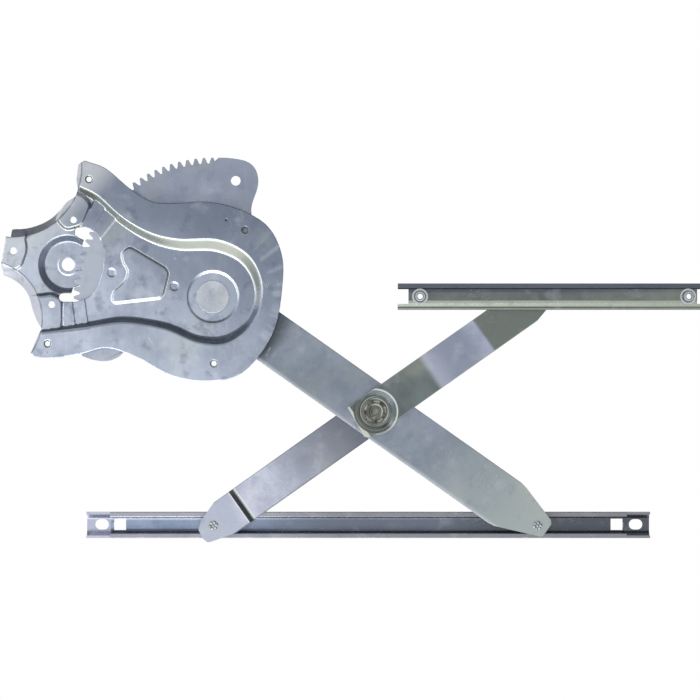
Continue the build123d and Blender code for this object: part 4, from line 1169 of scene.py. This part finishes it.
# Finish of each zinc-plated piece. A fade or ring has its place in millimetres, its tone and its share;
# most of them are painted light and shade
ZINC = {
    "base_plate": ZincPlate(
        "plate_zinc", (0.58, 0.64, 0.76), (0.36, 0.41, 0.51), pressed=True, cloud_scale=22, smudge_and_glint=0.42,
        fades=(
            # Painted shade darker towards the top and upper right, painted light on the upper left ear, a
            # lighter ring round the pivot, painted light on the flanges' bends and painted shade in their
            # creases
            Fade(Way.UP_RIGHT, -128, 84, (0.15, 0.185, 0.25), 0.88),
            Fade(Way.UP, 50, 80, (0.10, 0.12, 0.17), 0.3),
            Fade(Way.UP_LEFT, 136, 166, (0.62, 0.65, 0.68), 0.7),
            Ring(PIVOT, 12, 22.4, (0.56, 0.62, 0.74), 0.35),
            *(Ring(*hollow, (0.66, 0.67, 0.74), 0.5) for hollow in HOLLOWS),
            *(Ring(place, far - 0.4, far + 0.9, (0.07, 0.08, 0.10), 0.75) for place, _, far in HOLLOWS),
        ),
    ),
    "sector_gear": ZincPlate(
        "sector_zinc", (0.31, 0.35, 0.44), (0.25, 0.285, 0.37), shift=1.3,
        # Painted light: lighter towards the lower left
        fades=(Fade(Way.LEFT_DOWN, 58, 84, (0.45, 0.49, 0.58), 0.95),),
    ),
    "lift_arm": ZincPlate(
        "lift_zinc", (0.27, 0.31, 0.37), (0.19, 0.225, 0.28), grain=Grain.ALONG_LIFT_ARM, shift=2.1,
        fades=(
            # Lighter towards the nose; a painted shadow where the plate's rim shades the arm, painted shade
            # along the upper edge and a painted highlight along the lower edge
            Fade(Way.ARM_NOSE, 230, 390, (0.38, 0.43, 0.41), 0.85),
            Ring(PIVOT, 20, 76, (0.06, 0.075, 0.085), 0.8, soft=7),
            Fade(Way.ARM_ABOVE, 24, 24.6, (0.07, 0.075, 0.08), 0.8),
            Fade(Way.ARM_BELOW, 20.5, 25, (0.52, 0.55, 0.60), 0.85),
        ),
    ),
    "equalizer_upper_arm": ZincPlate(
        "upper_arm_zinc", (0.165, 0.195, 0.20), (0.10, 0.12, 0.12), grain=Grain.ALONG_EQUALIZER, shift=3.7,
        fades=(
            # Painted reflections along the arm's ramp and ends, painted highlights along both edges and the
            # foot's end, and painted light on the dish's bends round the cross pivot
            Fade(Way.EQUALIZER_TOP, 124, 131, (0.38, 0.41, 0.51), 0.9),
            Fade(Way.EQUALIZER_TOP, 131, 152, (0.24, 0.27, 0.35), 0.9),
            Fade(Way.EQUALIZER_TOP, 170, 187, (0.38, 0.41, 0.53), 0.9),
            Fade(Way.EQUALIZER_TOP, 187.5, 191, (0.155, 0.18, 0.165), 1),
            *painted_edge_lines(17.4, 18.2, (0.34, 0.37, 0.37), 0.8),
            Fade(Way.EQUALIZER_FOOT, -46.4, -45.6, (0.62, 0.66, 0.62), 0.85),
            Ring(CROSS, 15.4, 20.2, (0.46, 0.48, 0.42), 0.9, facing=215),
            Ring(CROSS, 20.4, 21.8, (0.66, 0.70, 0.68), 0.9, facing=25),
            Ring(CROSS, 17.6, 18.6, (0.74, 0.76, 0.72), 0.75, facing=250),
            Ring(CROSS, 13.6, 14.4, (0.50, 0.54, 0.46), 0.6, facing=165),
        ),
    ),
    "equalizer_lower_arm": ZincPlate(
        "lower_arm_zinc", (0.64, 0.68, 0.80), (0.40, 0.43, 0.53), grain=Grain.ALONG_EQUALIZER, shift=4.9,
        fades=(
            # Darker towards the cross pivot and at the foot; painted highlights on the joggle's bends with
            # painted shade between, and painted shade lines along both edges
            Fade(Way.EQUALIZER_TOP, -85, 40, (0.15, 0.165, 0.205), 0.95),
            Fade(Way.EQUALIZER_FOOT, 92, 108, (0.40, 0.44, 0.54), 0.7),
            Fade(Way.EQUALIZER_TOP, -96.6, -96.2, (0.72, 0.74, 0.68), 0.9, until=-95.4),
            Fade(Way.EQUALIZER_TOP, -95.4, -94.8, (0.05, 0.06, 0.065), 0.95, until=-91),
            Fade(Way.EQUALIZER_TOP, -91.2, -90.8, (0.76, 0.82, 0.76), 0.9, until=-88.8),
            *painted_edge_lines(16.9, 17.6, (0.10, 0.11, 0.13), 0.6),
        ),
    ),
    "fixed_rail": ZincPlate(
        "rail_zinc", (0.17, 0.19, 0.18), (0.11, 0.13, 0.13), grain=Grain.ALONG_X, shift=5.3,
        fades=(
            # Painted shade on the top slope, a painted highlight above it, painted light on the lower
            # slope, painted shade in the crease at the lower lip, the lip's own tone, and painted light
            # towards the right
            Fade(Way.UP, 3.4, 4.8, (0.085, 0.095, 0.13), 0.92),
            Fade(Way.UP, 7.6, 8.4, (0.55, 0.58, 0.68), 0.95),
            Fade(Way.DOWN, 3.4, 4.4, (0.40, 0.445, 0.38), 0.95),
            Fade(Way.DOWN, 9.2, 9.7, (0.06, 0.065, 0.06), 0.95, until=10.9),
            Fade(Way.DOWN, 10.8, 11.3, (0.20, 0.205, 0.19), 0.9),
            Fade(Way.RIGHT, 300, 470, (0.30, 0.33, 0.28), 0.25),
        ),
    ),
    "glass_channel": ZincPlate(
        "channel_zinc", (0.33, 0.40, 0.55), (0.23, 0.29, 0.42), grain=Grain.ALONG_X, shift=6.1,
        fades=(
            # Painted light on the upper slope, painted shade on the lower one, darker towards the right,
            # lines along both lips, and a painted highlight along the left end
            Fade(Way.UP, CHANNEL_Z + 3.8, CHANNEL_Z + 4.6, (0.60, 0.65, 0.78), 0.75),
            Fade(Way.DOWN, -CHANNEL_Z + 3.8, -CHANNEL_Z + 4.6, (0.075, 0.085, 0.12), 0.8),
            Fade(Way.RIGHT, -20, 110, (0.10, 0.125, 0.18), 0.68),
            Fade(Way.RIGHT, 180, 300, (0.055, 0.07, 0.09), 0.85),
            Fade(Way.UP, CHANNEL_Z + 8.2, CHANNEL_Z + 8.8, (0.34, 0.345, 0.38), 0.85),
            Fade(Way.DOWN, -CHANNEL_Z + 8.2, -CHANNEL_Z + 8.8, (0.36, 0.36, 0.41), 0.85),
            Fade(Way.RIGHT, 40, 130, (0.13, 0.135, 0.145), 0.4),
            Fade(Way.LEFT, 98.8, 99.4, (0.55, 0.56, 0.68), 0.7),
        ),
    ),
    "pivot_pin": ZincPlate("pivot_zinc", (0.54, 0.58, 0.64), (0.40, 0.44, 0.50), shift=7.7, cloud_scale=60),
    "cross_pivot": ZincPlate(
        "cross_zinc", (0.24, 0.25, 0.22), (0.09, 0.095, 0.08), shift=8.3, cloud_scale=160, roughness=0.2,
        fades=(
            # Painted highlights on the bends and on the petals' bumps, and painted shade in the pits
            # between the petals and at the centre
            Ring(CROSS, 11.9, 13, (0.68, 0.71, 0.70), 0.8, facing=25),
            Ring(CROSS, 7.4, 11.6, (0.03, 0.03, 0.025), 0.3),
            Ring(CROSS, 8.4, 10.8, (0.035, 0.03, 0.025), 0.8, lobes=8),
            Ring(CROSS, 9.2, 10.2, (0.70, 0.72, 0.70), 0.5, soft=0.8, lobes=5),
            Ring(CROSS, 5.9, 7.1, (0.70, 0.73, 0.70), 0.8, facing=40),
            Ring(CROSS, 3, 4.2, (0.05, 0.055, 0.05), 0.6),
        ),
    ),
    "rail_nuts": ZincPlate(
        "nut_zinc", (0.16, 0.17, 0.19), (0.06, 0.065, 0.075), shift=9.1, cloud_scale=150, roughness=0.22,
        fades=(
            # Dark base as painted shade on the weld nuts behind the plate, which wear this finish too;
            # lighter towards the right, at the rail nuts; painted shade rings in the nuts' faces
            Fade(Way.RIGHT, 60, 120, (0.58, 0.62, 0.65), 0.85),
            *(Ring((x, 0), *shade, (0.05, 0.055, 0.06), 0.85) for x in RAIL_NUTS for shade in NUT_SHADES),
        ),
    ),
}

# Finishes of the small hardware, and which piece wears which
STEEL = Plain("rivet_steel", (0.46, 0.49, 0.52), (0.24, 0.26, 0.28), 0.36, 0.85)
BRONZE = Plain("bush_bronze", (0.42, 0.29, 0.12), (0.22, 0.14, 0.05), 0.42, 0.9)
NYLON = Plain("roller_nylon", (0.80, 0.79, 0.73), (0.66, 0.65, 0.58), 0.42, 0.0, bump=0.05)

PINS = ("lift_pin", "upper_pin", "lower_pin")
SHARED = {
    "weld_nuts": "nut_zinc",
    **dict.fromkeys(("arm_rivets", *PINS), STEEL.name),
    **dict.fromkeys(("pivot_bush", "cross_bush"), BRONZE.name),
    **dict.fromkeys(("lift_roller", "upper_roller", "lower_roller"), NYLON.name),
}

# How far the edges are broken, where it isn't the usual width
EDGE_WIDTHS = {
    "lift_arm": 0.7, "equalizer_upper_arm": 0.6, "equalizer_lower_arm": 0.6, "fixed_rail": 0.45,
    "glass_channel": 0.45, "rail_nuts": 0.5, "pivot_pin": 0.6,
}
# Each ring of petals on a pin's head: its radius, a petal's radius and how many there are
PETALS = ((0.0, 1.15, 1), (3.1, 1.5, 6))
CRIMPS = dict.fromkeys(PINS, PETALS)


@dataclass
class Regulator:
    """The whole object: which piece stands for which node, and its finish."""

    frame: dict
    materials: dict[str, bpy.types.Material] = field(default_factory=dict)

    def body_of(self, node: str) -> str:
        """Body that a node moves with."""
        bodies = self.frame["record"]["behaviour"]["bodies"]
        return next(body for body, nodes in bodies.items() if node in nodes)

    def dress(self, piece: bpy.types.Object, node: str, slot: str) -> None:
        """Give a piece its finish and let it stand for a node."""
        piece.data.materials.clear()
        piece.data.materials.append(self.materials[slot])
        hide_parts(node)
        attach(piece, self.body_of(node))
        LOG.info("%s stands for %s, %d faces", piece.name, node, len(piece.data.polygons))

    def build(self) -> None:
        """Make every piece."""
        for finish in [*ZINC.values(), STEEL, BRONZE, NYLON]:
            self.materials[finish.name] = finish.build()
        plate = PressedPlate().build()
        self.dress(plate, "base_plate", "plate_zinc")
        slots = {node: finish.name for node, finish in ZINC.items() if node != "base_plate"} | SHARED
        for node, slot in slots.items():
            edges = BrokenEdges(node, width=EDGE_WIDTHS.get(node, 0.35), crimps=CRIMPS.get(node, ()))
            self.dress(edges.build(self.frame["nodes"][node]), node, slot)


def main() -> None:
    """Load the frame, dress the regulator and set up the studio."""
    logging.basicConfig(level=logging.INFO, format="%(message)s")
    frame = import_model()
    Studio().build()
    Regulator(frame).build()


if __name__ == "__main__":
    main()
